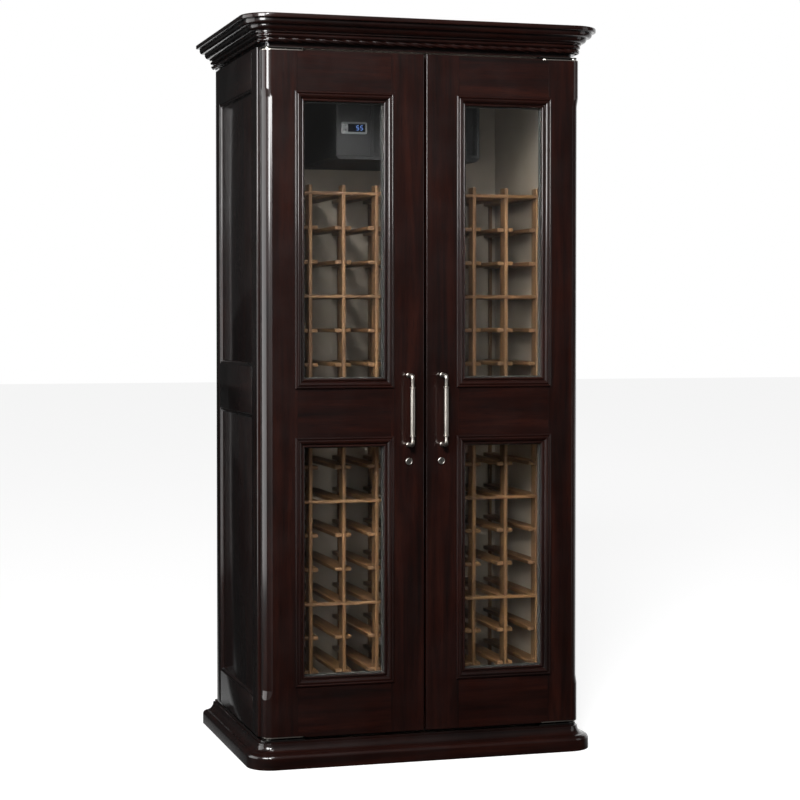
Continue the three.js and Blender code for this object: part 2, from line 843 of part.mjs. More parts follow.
function ladder(x, index) {
  const bottom = linerFloor + seatGap;
  const left = x - uprightWidth / 2;
  const right = x + uprightWidth / 2;
  const railLeft = index === 0 ? -linerHalf + seatGap : x - railWidth / 2;
  const railRight = index === ladderCount - 1 ? linerHalf - seatGap : x + railWidth / 2;
  const front = block(left, right, rackFront, rackFront + frontUprightDepth, bottom, rackTop);
  const rear = block(left, right, rackBack, linerBack - seatGap, bottom, rackTop);
  const rails = [];
  for (let row = 0; row < rowCount; row += 1) {
    const middle = topRow - row * rowPitch;
    const low = middle - railHeight / 2;
    rails.push(block(railLeft, railRight, rackFront + railSetBack, rackBack, low, low + railHeight));
  }
  const notches = crossbarHeights().map((height) =>
    block(
      left - cutOverrun,
      right + cutOverrun,
      rackFront - cutOverrun,
      rackFront + crossbarDepth + seatGap,
      height - crossbarHeight / 2 - seatGap,
      height + crossbarHeight / 2 + seatGap,
    ),
  );
  return geometryOf(cutAway(joined(solidOf(front), [rear, ...rails]), notches));
}

function makeRack() {
  for (let i = 0; i < ladderCount; i += 1) {
    const x = (i - (ladderCount - 1) / 2) * ladderPitch;
    place(`rack_ladder_${i + 1}`, ladder(x, i), rackWood);
  }
  const reach = linerHalf - seatGap;
  crossbarHeights().forEach((height, i) => {
    const low = height - crossbarHeight / 2;
    const bar = block(-reach, reach, rackFront, rackFront + crossbarDepth, low, low + crossbarHeight);
    place(`rack_crossbar_${i + 1}`, bar, rackWood);
  });
}

// Cooling unit under the ceiling
function coolerTop() {
  return linerCeiling - seatGap;
}

function plenumBox() {
  return {
    left: -coolerHalf + controlWidth + plenumMargin,
    right: coolerHalf - plenumMargin,
    bottom: coolerBottom + plenumMargin,
    top: coolerTop() - plenumMargin,
  };
}

function keyCentres() {
  const middle = bezelBottom + bezelHeight / 2;
  return { key_up: middle + keyPitch / 2, key_down: middle - keyPitch / 2 };
}

function keyX() {
  return -coolerHalf + bezelLeft + (bezelWidth - screenWidth) / 2 - keyClearance * 2;
}

function keyPocket(centre, front, back) {
  const halfWidth = keyWidth / 2 + keyClearance;
  const halfHeight = keyHeight / 2 + keyClearance;
  return block(keyX() - halfWidth, keyX() + halfWidth, front, back, centre - halfHeight, centre + halfHeight);
}

function makeCoolerHousing() {
  const outline = [
    new THREE.Vector2(-coolerHalf, coolerBottom + coolerEdge),
    new THREE.Vector2(-coolerHalf + coolerEdge, coolerBottom),
    new THREE.Vector2(coolerHalf - coolerEdge, coolerBottom),
    new THREE.Vector2(coolerHalf, coolerBottom + coolerEdge),
    new THREE.Vector2(coolerHalf, coolerTop()),
    new THREE.Vector2(-coolerHalf, coolerTop()),
  ];
  const depth = linerBack - coolerFront;
  const body = extruded(outline, depth).rotateX(Math.PI / 2).translate(0, linerBack, 0);
  const { left, right, bottom, top } = plenumBox();
  const plenum = block(left, right, coolerFront - cutOverrun, coolerFront + plenumDepth, bottom, top);
  const pocketBack = coolerFront + keyStemDepth + keyTravel + keyClearance;
  const pockets = Object.values(keyCentres()).map((centre) =>
    keyPocket(centre, coolerFront - cutOverrun, pocketBack),
  );
  place("cooling_housing", geometryOf(cutAway(solidOf(body), [plenum, ...pockets])), charcoal);
}

function makeControlPanel() {
  const back = coolerFront - seatGap;
  const front = back - coverThickness;
  const left = -coolerHalf;
  const cover = block(left, left + controlWidth, front, back, coolerBottom + coolerEdge, coolerTop());
  const bezelStart = left + bezelLeft;
  const bezelTop = bezelBottom + bezelHeight;
  const bezelFace = front - bezelRise;
  const bezel = block(bezelStart, bezelStart + bezelWidth, bezelFace, back, bezelBottom, bezelTop);
  const screenRight = bezelStart + bezelWidth - (bezelHeight - screenHeight) / 2;
  const screenLow = bezelBottom + (bezelHeight - screenHeight) / 2;
  const screen = block(
    screenRight - screenWidth,
    screenRight,
    bezelFace - cutOverrun,
    bezelFace + screenDepth,
    screenLow,
    screenLow + screenHeight,
  );
  const pockets = Object.values(keyCentres()).map((centre) =>
    keyPocket(centre, bezelFace - cutOverrun, back + cutOverrun),
  );
  const solid = cutAway(joined(solidOf(cover), [bezel]), [screen, ...pockets]);
  place("control_panel", geometryOf(solid), charcoal);
}

function makeKeys() {
  const face = coolerFront - seatGap - coverThickness - bezelRise - keyRise;
  for (const [name, centre] of Object.entries(keyCentres())) {
    const key = block(
      keyX() - keyWidth / 2,
      keyX() + keyWidth / 2,
      face,
      coolerFront + keyStemDepth,
      centre - keyHeight / 2,
      centre + keyHeight / 2,
    );
    place(name, key, charcoal);
  }
}

function makeGrille() {
  const back = coolerFront - seatGap;
  const front = back - coverThickness;
  const left = -coolerHalf + controlWidth + seatGap;
  const plate = block(left, coolerHalf, front, back, coolerBottom + coolerEdge, coolerTop());
  const field = plenumBox();
  const columnPitch = (field.right - field.left + slotBarWidth) / slotColumns;
  const rowStep = (field.top - field.bottom - coolerEdge + slotBarWidth) / slotRows;
  const slots = [];
  for (let column = 0; column < slotColumns; column += 1) {
    for (let row = 0; row < slotRows; row += 1) {
      const x = field.left + column * columnPitch;
      const z = field.bottom + coolerEdge + row * rowStep;
      const right = x + columnPitch - slotBarWidth;
      slots.push(block(x, right, front - cutOverrun, back + cutOverrun, z, z + rowStep - slotBarWidth));
    }
  }
  place("evaporator_grille", geometryOf(cutAway(solidOf(plate), slots)), charcoal);
}

makePlinth();
makeCornice();
makeRope();
makeFloorPanel();
makeCeilingPanel();
makeInsulatedWalls();
makeBackPanel();
makeMullion();
makeSideFrames();
makeSidePanels();
makeDoorFrames();
makeGlazing();
makeGaskets();
makeHingeLeaves();
makePivotPlates();
makeHandles();
makeLocks();
makeRack();
makeCoolerHousing();
makeControlPanel();
makeKeys();
makeGrille();

// The origin is under the middle of the whole, on the floor
cabinet.position.y = (handleReach + collarRadius - caseBack) / 2;

export default cabinet;
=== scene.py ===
# Two-door wine cabinet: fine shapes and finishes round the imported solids
import math

import bmesh
import bpy
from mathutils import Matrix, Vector


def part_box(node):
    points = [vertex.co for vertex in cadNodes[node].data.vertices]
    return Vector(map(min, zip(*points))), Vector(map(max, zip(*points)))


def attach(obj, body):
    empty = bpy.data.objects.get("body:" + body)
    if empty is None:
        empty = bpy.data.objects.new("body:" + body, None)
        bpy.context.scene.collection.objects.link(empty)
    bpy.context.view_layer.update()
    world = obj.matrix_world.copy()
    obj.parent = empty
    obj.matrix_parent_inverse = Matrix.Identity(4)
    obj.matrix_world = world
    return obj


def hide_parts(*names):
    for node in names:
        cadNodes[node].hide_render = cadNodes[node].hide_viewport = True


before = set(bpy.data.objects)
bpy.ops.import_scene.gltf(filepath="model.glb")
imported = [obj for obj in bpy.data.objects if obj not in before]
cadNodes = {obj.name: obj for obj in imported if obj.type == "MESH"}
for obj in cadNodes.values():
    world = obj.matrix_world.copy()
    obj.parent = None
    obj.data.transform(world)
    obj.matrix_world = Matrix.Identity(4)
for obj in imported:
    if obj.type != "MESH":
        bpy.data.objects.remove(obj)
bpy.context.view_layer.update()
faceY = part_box("door_frame_left")[0].y  # the doors' front plane; sizes below are in mm from it
scene = bpy.context.scene
print("frame loaded:", len(cadNodes), "solids")


# Camera, fitted to the photograph's edges
cameraSpec = {
    "place": (-1519.8, -4921.8, 1128.5),
    "yaw": 16.443,
    "pitch": -1.602,
    "lens": 90.97,
    "sensor": 36,
    "shiftY": -0.03125,
}


def put(x, y, z):
    return Vector((x / 1000, y / 1000 + faceY, z / 1000))


def makeCamera(spec):
    data = bpy.data.cameras.new("photoCamera")
    data.lens, data.sensor_width, data.shift_y = spec["lens"], spec["sensor"], spec["shiftY"]
    data.clip_end = 60
    camera = bpy.data.objects.new("photoCamera", data)
    camera.location = put(*spec["place"])
    camera.rotation_euler = (math.radians(90 + spec["pitch"]), 0, math.radians(-spec["yaw"]))
    scene.collection.objects.link(camera)
    scene.camera = camera


makeCamera(cameraSpec)
print("camera placed")


def hexColour(code):
    def linear(part):
        value = int(part, 16) / 255
        return value / 12.92 if value <= 0.04045 else ((value + 0.055) / 1.055) ** 2.4

    return (linear(code[1:3]), linear(code[3:5]), linear(code[5:7]), 1)


# Adds a node with its settings and links; an input is a value, a socket or a node, whose first output it
# takes. Map Range's inputs 0 to 4 are the value, its range and the new range; Mix has colours at 6 and 7
def addNode(tree, kind, inputs=None, stops=(), **settings):
    node = tree.nodes.new(kind)
    for name, value in settings.items():
        setattr(node, name, value)
    for name, value in (inputs or {}).items():
        if isinstance(value, bpy.types.Node):
            value = value.outputs[0]
        if isinstance(value, bpy.types.NodeSocket):
            tree.links.new(value, node.inputs[name])
        else:
            node.inputs[name].default_value = value
    for i, (place, colour) in enumerate(stops):
        element = node.color_ramp.elements[i] if i < 2 else node.color_ramp.elements.new(place)
        element.position, element.color = place, hexColour(colour)
    return node


# Noise in the object's own space, with the size of its grains in mm along each axis
def noiseOn(tree, sizes, detail=4.0, rough=0.55, warp=0.0):
    spot = addNode(tree, "ShaderNodeTexCoord").outputs["Object"]
    placed = addNode(tree, "ShaderNodeMapping", {"Vector": spot, "Scale": [1000 / size for size in sizes]})
    inputs = {"Vector": placed, "Scale": 1.0, "Detail": detail, "Roughness": rough, "Distortion": warp}
    return addNode(tree, "ShaderNodeTexNoise", inputs)


def newMaterial(name):
    material = bpy.data.materials.new(name)
    material.use_nodes = True
    tree = material.node_tree
    tree.nodes.clear()
    return material, tree


def grainSizes(axis, across, along):
    return [along if axis == each else across for each in "xyz"]


# Mahogany: open pores and soft figure, wiped dark with a red-brown stain and closed under gloss
# lacquer, so the eye gets a nearly black red with crisp reflections and only a hint of grain
mahoganySpec = {
    "stops": [(0.3, "#130604"), (0.52, "#240c07"), (0.74, "#33140c")],
    "figure": (26, 420),
    "pore": (1.3, 34),  # pores are 0.3 mm wide; drawn wider so that they show
    "poreDepth": 0.05,
    "peelSize": 9,
    "peelDepth": 0.012,
}


def makeMahogany(axis, spec):
    material, tree = newMaterial("stainedMahoganyAlong" + axis.upper())
    figure = noiseOn(tree, grainSizes(axis, *spec["figure"]), detail=5, warp=0.6)
    pores = noiseOn(tree, grainSizes(axis, *spec["pore"]), detail=2, rough=0.4)
    smudge = noiseOn(tree, (90, 90, 90), detail=3)
    peel = noiseOn(tree, (spec["peelSize"],) * 3, detail=1)
    opened = addNode(tree, "ShaderNodeMapRange", {0: pores, 1: 0.56, 2: 0.7})
    share = addNode(tree, "ShaderNodeMapRange", {0: opened, 4: 0.55})
    level = addNode(tree, "ShaderNodeMapRange", {0: opened, 3: 1, 4: 0})
    body = addNode(tree, "ShaderNodeValToRGB", {"Fac": figure}, stops=spec["stops"])
    colour = addNode(tree, "ShaderNodeMix", {0: share, 6: body, 7: hexColour("#0c0405")}, data_type="RGBA")
    lacquer = addNode(tree, "ShaderNodeBump", {"Height": peel, "Distance": spec["peelDepth"] / 1000})
    inputs = {"Height": level, "Distance": spec["poreDepth"] / 1000, "Normal": lacquer}
    wood = addNode(tree, "ShaderNodeBump", inputs)
    inputs = {
        "Base Color": colour.outputs[2],
        "Roughness": addNode(tree, "ShaderNodeMapRange", {0: smudge, 1: 0.3, 2: 0.7, 3: 0.34, 4: 0.46}),
        "Specular IOR Level": 0.15,
        "Coat Weight": 1.0,
        "Coat Roughness": 0.12,
        "Coat IOR": 1.45,
        "Normal": wood,
        "Coat Normal": lacquer,
    }
    addNode(tree, "ShaderNodeOutputMaterial", {0: addNode(tree, "ShaderNodeBsdfPrincipled", inputs)})
    return material


# Rack mahogany: sawn, sanded and lightly oiled, so it stays a matt tan brown with open grain
rackWoodSpec = {
    "stops": [(0.28, "#3c2716"), (0.5, "#624527"), (0.75, "#80603a")],
    "figure": (7, 160),
    "pore": (0.9, 16),
    "poreDepth": 0.08,
}


def makeRackWood(axis, spec):
    material, tree = newMaterial("oiledMahoganyAlong" + axis.upper())
    figure = noiseOn(tree, grainSizes(axis, *spec["figure"]), detail=5, warp=0.8)
    pores = noiseOn(tree, grainSizes(axis, *spec["pore"]), detail=2)
    patch = noiseOn(tree, (140, 140, 140), detail=1)
    body = addNode(tree, "ShaderNodeValToRGB", {"Fac": figure}, stops=spec["stops"])
    share = addNode(tree, "ShaderNodeMapRange", {0: patch, 1: 0.35, 2: 0.65, 4: 0.35})
    toned = addNode(tree, "ShaderNodeMix", {0: share, 6: body, 7: hexColour("#6d4a30")}, data_type="RGBA")
    share = addNode(tree, "ShaderNodeMapRange", {0: pores, 1: 0.58, 2: 0.72, 4: 0.5})
    inputs = {0: share, 6: toned.outputs[2], 7: hexColour("#3a2415")}
    colour = addNode(tree, "ShaderNodeMix", inputs, data_type="RGBA")
    inputs = {
        "Base Color": colour.outputs[2],
        "Roughness": addNode(tree, "ShaderNodeMapRange", {0: pores, 1: 0.3, 2: 0.7, 3: 0.5, 4: 0.66}),
        "Specular IOR Level": 0.4,
        "Normal": addNode(tree, "ShaderNodeBump", {"Height": pores, "Distance": spec["poreDepth"] / 1000}),
    }
    addNode(tree, "ShaderNodeOutputMaterial", {0: addNode(tree, "ShaderNodeBsdfPrincipled", inputs)})
    return material


# A plain finish: a colour that drifts a little, a grit in the surface and a roughness that follows it
def makeFinish(name, dark, light, smooth, rough, gritDepth=0.02, gritSizes=(1.2, 1.2, 1.2), metal=0.0):
    material, tree = newMaterial(name)
    drift = noiseOn(tree, (120, 120, 120), detail=3)
    grit = noiseOn(tree, gritSizes, detail=2)
    inputs = {
        "Base Color": addNode(tree, "ShaderNodeValToRGB", {"Fac": drift}, stops=[(0.3, dark), (0.7, light)]),
        "Roughness": addNode(tree, "ShaderNodeMapRange", {0: grit, 1: 0.3, 2: 0.7, 3: smooth, 4: rough}),
        "Normal": addNode(tree, "ShaderNodeBump", {"Height": grit, "Distance": gritDepth / 1000}),
        "Metallic": metal,
    }
    addNode(tree, "ShaderNodeOutputMaterial", {0: addNode(tree, "ShaderNodeBsdfPrincipled", inputs)})
    return material


# Insulating glass: float glass, clear and almost neutral; lamps reach through it
def makeGlass():
    material, tree = newMaterial("floatGlass")
    inputs = {"Base Color": hexColour("#fdfdfc"), "Roughness": 0.0, "IOR": 1.5, "Transmission Weight": 1.0}
    pane = addNode(tree, "ShaderNodeBsdfPrincipled", inputs)
    clear = addNode(tree, "ShaderNodeBsdfTransparent", {"Color": hexColour("#f2f2f1")})
    shadow = addNode(tree, "ShaderNodeLightPath").outputs["Is Shadow Ray"]
    both = addNode(tree, "ShaderNodeMixShader", {0: shadow, 1: pane, 2: clear})
    addNode(tree, "ShaderNodeOutputMaterial", {0: both})
    return material


# Display glow: lit segments behind a dark window
def makeGlow():
    material, tree = newMaterial("segmentGlow")
    inputs = {"Base Color": hexColour("#0a1020"), "Emission Color": hexColour("#7fa8ff"), "Emission Strength": 1.2}
    glow = addNode(tree, "ShaderNodeBsdfPrincipled", {**inputs, "Roughness": 0.3})
    addNode(tree, "ShaderNodeOutputMaterial", {0: glow})
    return material


woods = {axis: makeMahogany(axis, mahoganySpec) for axis in "xyz"}
rackWoods = {axis: makeRackWood(axis, rackWoodSpec) for axis in "xyz"}
finishes = {
    # vacuum-formed ABS over foam: satin, warm beige, with a fine leather-like grit
    "liner": makeFinish("formedAbsLiner", "#978d80", "#a59b90", 0.42, 0.56, 0.05, (2.2, 2.2, 2.2)),
    # brushed zinc alloy plated with nickel, then lacquered: soft, slightly warm silver
    "nickel": makeFinish("satinNickelPlate", "#aaa49c", "#beb8af", 0.3, 0.4, 0.0015, (0.8, 0.8, 9), metal=1.0),
    # nickel of the lock plugs and rings, scuffed by keys to a soft sheen
    "lockNickel": makeFinish("scuffedNickelPlate", "#8a8680", "#9f9b95", 0.3, 0.4, 0.002, metal=1.0),
    # nickel of the case's hinge plates, made nearly black as painted shade for where they sit in shadow
    "plate": makeFinish("dullNickelPlate", "#2b2927", "#3a3735", 0.45, 0.6, metal=1.0),
    # zinc-plated steel screws
    "screw": makeFinish("zincPlatedSteel", "#8f8f8a", "#a8a8a2", 0.25, 0.4, metal=1.0),
    # soft PVC magnetic seal: matt black
    "rubber": makeFinish("sealPvc", "#121110", "#1c1b19", 0.6, 0.75, 0.03),
    # powder-coated sheet steel: charcoal with a fine texture
    "charcoal": makeFinish("powderCoatedSteel", "#08090d", "#0c0e13", 0.6, 0.72, 0.06, (1.6, 1.6, 1.6)),
    # moulded ABS of the controller's surround: mid grey, spark-eroded mould grain
    "bezel": makeFinish("mouldedAbsBezel", "#6c6e71", "#7a7c7f", 0.38, 0.5, 0.03),
    # printed arrows of the keys
    "mark": makeFinish("padPrint", "#2a2c2e", "#323436", 0.5, 0.6),
    # smoked acrylic window of the display: black gloss
    "screen": makeFinish("smokedAcrylic", "#04060c", "#060910", 0.05, 0.08, 0.0),
    # dark anodised spacer bar between the panes
    "spacer": makeFinish("anodisedSpacer", "#2b2c2b", "#353634", 0.4, 0.5, metal=0.4),
    # painted plywood of the back and of the dust cover: flat black-brown with the veneer's grain
    "backPly": makeFinish("stainedPlywood", "#1b1614", "#29201c", 0.5, 0.68, 0.1, (1.6, 1.6, 60)),
    "glass": makeGlass(),
    "glow": makeGlow(),
}
print("finishes made:", len(bpy.data.materials))


# Shapes are lists of points in mm with faces, each face with the number of its finish; the left
# side's are the right side's mirrored
def newShape(side="Right"):
    return {"points": [], "faces": [], "finishes": [], "side": side}


def addPart(shape, part, finish=0):
    points, faces = part
    base = len(shape["points"])
    flip = shape["side"] == "Left"
    shape["points"] += [(-x if flip else x, y, z) for x, y, z in points]
    for face in faces:
        order = [base + i for i in face]
        shape["faces"].append(order[::-1] if flip else order)
        shape["finishes"].append(finish)


def shapeOf(*parts, side="Right"):
    shape = newShape(side)
    for part in parts:
        addPart(shape, part)
    return shape


def outward(points, faces):
    volume = 0.0
    for face in faces:
        a = Vector(points[face[0]])
        for i in range(1, len(face) - 1):
            volume += a.dot(Vector(points[face[i]]).cross(Vector(points[face[i + 1]])))
    return (points, faces) if volume > 0 else (points, [face[::-1] for face in faces])


def loft(rings, isLoop=False):
    count = len(rings[0])
    points = [tuple(p) for ring in rings for p in ring]
    faces = []
    for i in range(len(rings) if isLoop else len(rings) - 1):
        near, far = i * count, (i + 1) % len(rings) * count
        for j in range(count):
            k = (j + 1) % count
            faces.append([near + j, far + j, far + k, near + k])
    if not isLoop:
        last = (len(rings) - 1) * count
        faces += [list(range(count)), [last + j for j in range(count)][::-1]]
    return outward(points, faces)


# A section carried straight between places on the axis that the section leaves out
def extruded(section, places, axis):
    orders = {"x": lambda a, b, at: (at, a, b), "y": lambda a, b, at: (a, at, b), "z": lambda a, b, at: (a, b, at)}
    return loft([[orders[axis](a, b, at) for a, b in section] for at in places])


def board(x0, x1, y0, y1, z0, z1, ease=0.8, segments=2):
    mesh = bmesh.new()
    bmesh.ops.create_cube(mesh, size=1)
    middle = Vector(((x0 + x1) / 2, (y0 + y1) / 2, (z0 + z1) / 2))
    for vert in mesh.verts:
        vert.co = middle + vert.co * Vector((x1 - x0, y1 - y0, z1 - z0))
    if ease > 0:
        settings = {"offset": ease, "offset_type": "OFFSET", "segments": segments, "profile": 0.5, "affect": "EDGES"}
        bmesh.ops.bevel(mesh, geom=mesh.edges[:], **settings)
    bmesh.ops.recalc_face_normals(mesh, faces=mesh.faces[:])
    mesh.verts.ensure_lookup_table()
    points = [tuple(vert.co) for vert in mesh.verts]
    faces = [[vert.index for vert in face.verts] for face in mesh.faces]
    mesh.free()
    return points, faces


def arc(middle, radii, start, end, steps):
    turns = [math.radians(start + (end - start) * i / steps) for i in range(steps + 1)]
    return [(middle[0] + radii[0] * math.cos(turn), middle[1] + radii[1] * math.sin(turn)) for turn in turns]


# A round bar from pairs of radius and height, along z or from front to back along y
def turned(profile, sides=32, axis="z", at=(0, 0, 0)):
    points, faces, rows = [], [], []
    for radius, height in profile:
        row = []
        for i in range(sides if radius > 0 else 1):
            turn = math.tau * i / sides
            a, b = radius * math.cos(turn), radius * math.sin(turn)
            spot = (a, b, height) if axis == "z" else (a, height, b)
            row.append(len(points))
            points.append(tuple(p + q for p, q in zip(spot, at)))
        rows.append(row)
    for low, high in zip(rows, rows[1:]):
        for i in range(sides if len(low) + len(high) > 2 else 0):
            j = (i + 1) % sides
            if len(low) == 1:
                faces.append([low[0], high[j], high[i]])
            elif len(high) == 1:
                faces.append([low[i], low[j], high[0]])
            else:
                faces.append([low[i], low[j], high[j], high[i]])
    faces += [row for row in (rows[0][::-1], rows[-1]) if len(row) > 1]
    return outward(points, faces)


# Rings of a moulding round three sides; the profile is (distance out, height) from the body's faces
def wrapped(profile, half, front, radius, back, steps=14):
    middleX, middleY = half - radius, front + radius
    stations = [(middleX, back, 0.0)]
    stations += [(middleX, middleY, -math.pi / 2 * i / steps) for i in range(steps + 1)]
    stations += [(-middleX, middleY, -math.pi / 2 * (1 + i / steps)) for i in range(steps + 1)]
    stations.append((-middleX, back, -math.pi))
    rings = []
    for x, y, turn in stations:
        reaches = [(radius + out, height) for out, height in profile]
        rings.append([(x + reach * math.cos(turn), y + reach * math.sin(turn), height) for reach, height in reaches])
    return loft(rings)


# Four mitred bars of a frame that stands upright; the profile is (distance in, depth)
def frameParts(profile, left, right, bottom, top):
    corners = ((left, bottom, 1, 1), (right, bottom, -1, 1), (right, top, -1, -1), (left, top, 1, -1))
    rings = [[(x + inX * inset, depth, z + inZ * inset) for inset, depth in profile] for x, z, inX, inZ in corners]
    return [loft([rings[i], rings[(i + 1) % 4]]) for i in range(4)]


def smoothed(mesh, sharpAngle):
    mesh.shade_smooth()
    mesh.set_sharp_from_angle(angle=math.radians(sharpAngle))
    return mesh


def meshFrom(name, shape, materials):
    mesh = bpy.data.meshes.new(name)
    mesh.from_pydata([put(*p) for p in shape["points"]], [], shape["faces"])
    for material in materials:
        mesh.materials.append(material)
    mesh.polygons.foreach_set("material_index", shape["finishes"])
    mesh.validate()
    return smoothed(mesh, 32)


def addPiece(name, mesh, replaced=(), body="root"):
    piece = bpy.data.objects.new(name, mesh)
    scene.collection.objects.link(piece)
    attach(piece, body)
    if replaced:
        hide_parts(*replaced)


def addShape(name, shape, materials, replaced=(), body="root"):
    addPiece(name, meshFrom(name, shape, materials), replaced, body)


# Takes one shape out of a mesh; the faces of the cut get the given material
def carved(mesh, cutters, material, sharpAngle=32):
    block = bpy.data.objects.new("carvedBlock", mesh)
    tool = bpy.data.objects.new("carvingTool", meshFrom("carvingTool", cutters, [material]))
    for item in (block, tool):
        scene.collection.objects.link(item)
    modifier = block.modifiers.new("carve", "BOOLEAN")
    modifier.operation, modifier.object, modifier.solver = "DIFFERENCE", tool, "EXACT"
    modifier.use_self = True
    bpy.context.view_layer.update()
    result = bpy.data.meshes.new_from_object(block.evaluated_get(bpy.context.evaluated_depsgraph_get()))
    block.modifiers.clear()
    bpy.data.objects.remove(block)
    bpy.data.objects.remove(tool)
    result.name = mesh.name
    return smoothed(result, sharpAngle)


# Runs a Geometry Nodes tree on a seed mesh and keeps the plain result
def grow(name, seed, tree, values):
    holder = bpy.data.objects.new(name + "Seed", seed)
    scene.collection.objects.link(holder)
    modifier = holder.modifiers.new("growth", "NODES")
    modifier.node_group = tree
    for item in tree.interface.items_tree:
        if item.item_type == "SOCKET" and item.in_out == "INPUT" and item.name in values:
            modifier[item.identifier] = values[item.name]
    bpy.context.view_layer.update()
    mesh = bpy.data.meshes.new_from_object(holder.evaluated_get(bpy.context.evaluated_depsgraph_get()))
    mesh.name = name
    holder.modifiers.remove(modifier)
    bpy.data.objects.remove(holder)
    return mesh


def newTree(name, sockets):
    tree = bpy.data.node_groups.new(name, "GeometryNodeTree")
    tree.interface.new_socket("Geometry", in_out="INPUT", socket_type="NodeSocketGeometry")
    for label, kind in sockets.items():
        tree.interface.new_socket(label, in_out="INPUT", socket_type="NodeSocket" + kind)
    tree.interface.new_socket("Geometry", in_out="OUTPUT", socket_type="NodeSocketGeometry")
    return tree, addNode(tree, "NodeGroupInput").outputs


def closeTree(tree, geometry, material):
    real = addNode(tree, "GeometryNodeRealizeInstances", {0: geometry})
    painted = addNode(tree, "GeometryNodeSetMaterial", {"Geometry": real, "Material": material})
    addNode(tree, "NodeGroupOutput", {0: painted})


# One part repeated in a grid of columns along x and rows down z
def makeGridTree():
    sockets = {"Part": "Object", "Columns": "Int", "Column pitch": "Float", "First column": "Float"}
    sockets.update({"Rows": "Int", "Row pitch": "Float", "Top row": "Float", "Material": "Material"})
    tree, given = newTree("partGrid", sockets)
    start = addNode(tree, "ShaderNodeCombineXYZ", {"X": given["First column"], "Z": given["Top row"]})
    step = addNode(tree, "ShaderNodeCombineXYZ", {"X": given["Column pitch"]})
    drop = addNode(tree, "ShaderNodeMath", {0: given["Row pitch"], 1: -1.0}, operation="MULTIPLY")
    fall = addNode(tree, "ShaderNodeCombineXYZ", {"Z": drop})
    inputs = {"Count": given["Columns"], "Start Location": start, "Offset": step}
    columns = addNode(tree, "GeometryNodeMeshLine", inputs)
    rows = addNode(tree, "GeometryNodeMeshLine", {"Count": given["Rows"], "Offset": fall})
    lines = addNode(tree, "GeometryNodeInstanceOnPoints", {"Points": columns, "Instance": rows})
    spots = addNode(tree, "GeometryNodeRealizeInstances", {0: lines})
    part = addNode(tree, "GeometryNodeObjectInfo", {"Object": given["Part"]}).outputs["Geometry"]
    placed = addNode(tree, "GeometryNodeInstanceOnPoints", {"Points": spots, "Instance": part})
    closeTree(tree, placed, given["Material"])
    return tree


gridTree = makeGridTree()
emptySeed = bpy.data.meshes.new("emptySeed")


# Grows a grid of one part; sizes in mm, and the part's own shape says where it lies from front to back
def growGrid(name, shape, spec, material):
    partMesh = meshFrom(name + "Part", shape, [material])
    part = bpy.data.objects.new(name + "Part", partMesh)
    scene.collection.objects.link(part)
    values = {"Part": part, "Columns": spec["columns"], "Rows": spec["rows"], "Material": material}
    values["Column pitch"], values["Row pitch"] = spec["columnPitch"] / 1000, spec["rowPitch"] / 1000
    values["First column"], values["Top row"] = spec["firstColumn"] / 1000, spec["topRow"] / 1000
    mesh = grow(name, emptySeed.copy(), gridTree, values)
    bpy.data.objects.remove(part)
    bpy.data.meshes.remove(partMesh)
    return mesh


# Plinth: a wide ogee skirt round a base frame of rails
plinthSpec = {
    "half": 458.5,
    "front": -24,
    "cornerRadius": 64,
    "back": 615,
    "height": 66,
    "skirtDepth": 48,
    "railWidth": 54,
    "railBottom": 2,
}


def makePlinth(spec):
    depth, back, width = spec["skirtDepth"], spec["back"], spec["railWidth"]
    profile = [(-0.8, 0), (0, 0.8), (0, 26.6)]
    profile += arc((-10.4, 27), (10.4, 10.6), 2, 76, 9)
    profile += [(-8.6, 37.7), (-9.2, 38.2), (-10.6, 38.5)]
    profile += arc((-11, 59), (18, 20.4), 268, 183, 12)
    profile += [(-29.4, 59.8), (-30.4, 60.4), (-33.6, 60.5), (-34, 60.9)]
    profile += arc((-36, 64), (2, 2), 0, 90, 4)
    profile += [(-depth, spec["height"]), (-depth, 0)]
    half, front = spec["half"] - depth, spec["front"] + depth
    moved = [(out + depth, height) for out, height in profile]
    shape = shapeOf(wrapped(moved, half, front, spec["cornerRadius"] - depth, back))
    inner, low, top = half - 0.3, spec["railBottom"], spec["height"] - 0.4
    addPart(shape, board(-inner, inner, front + 0.3, front + width, low, top))
    addPart(shape, board(-inner, inner, back - width, back - 0.6, low, top))
    for x in (-inner, inner - width):
        addPart(shape, board(x, x + width, front + width + 0.3, back - width - 0.3, low, top), 1)
    addShape("plinthSkirt", shape, [woods["x"], woods["y"]], ["plinth_moulding"])


# Cornice: bead, ovolo and cove under a square crown, with a rope let in below them
corniceSpec = {"half": 428, "front": 7, "radius": 30, "bottom": 1806, "back": 615, "skin": 19.6, "height": 77}


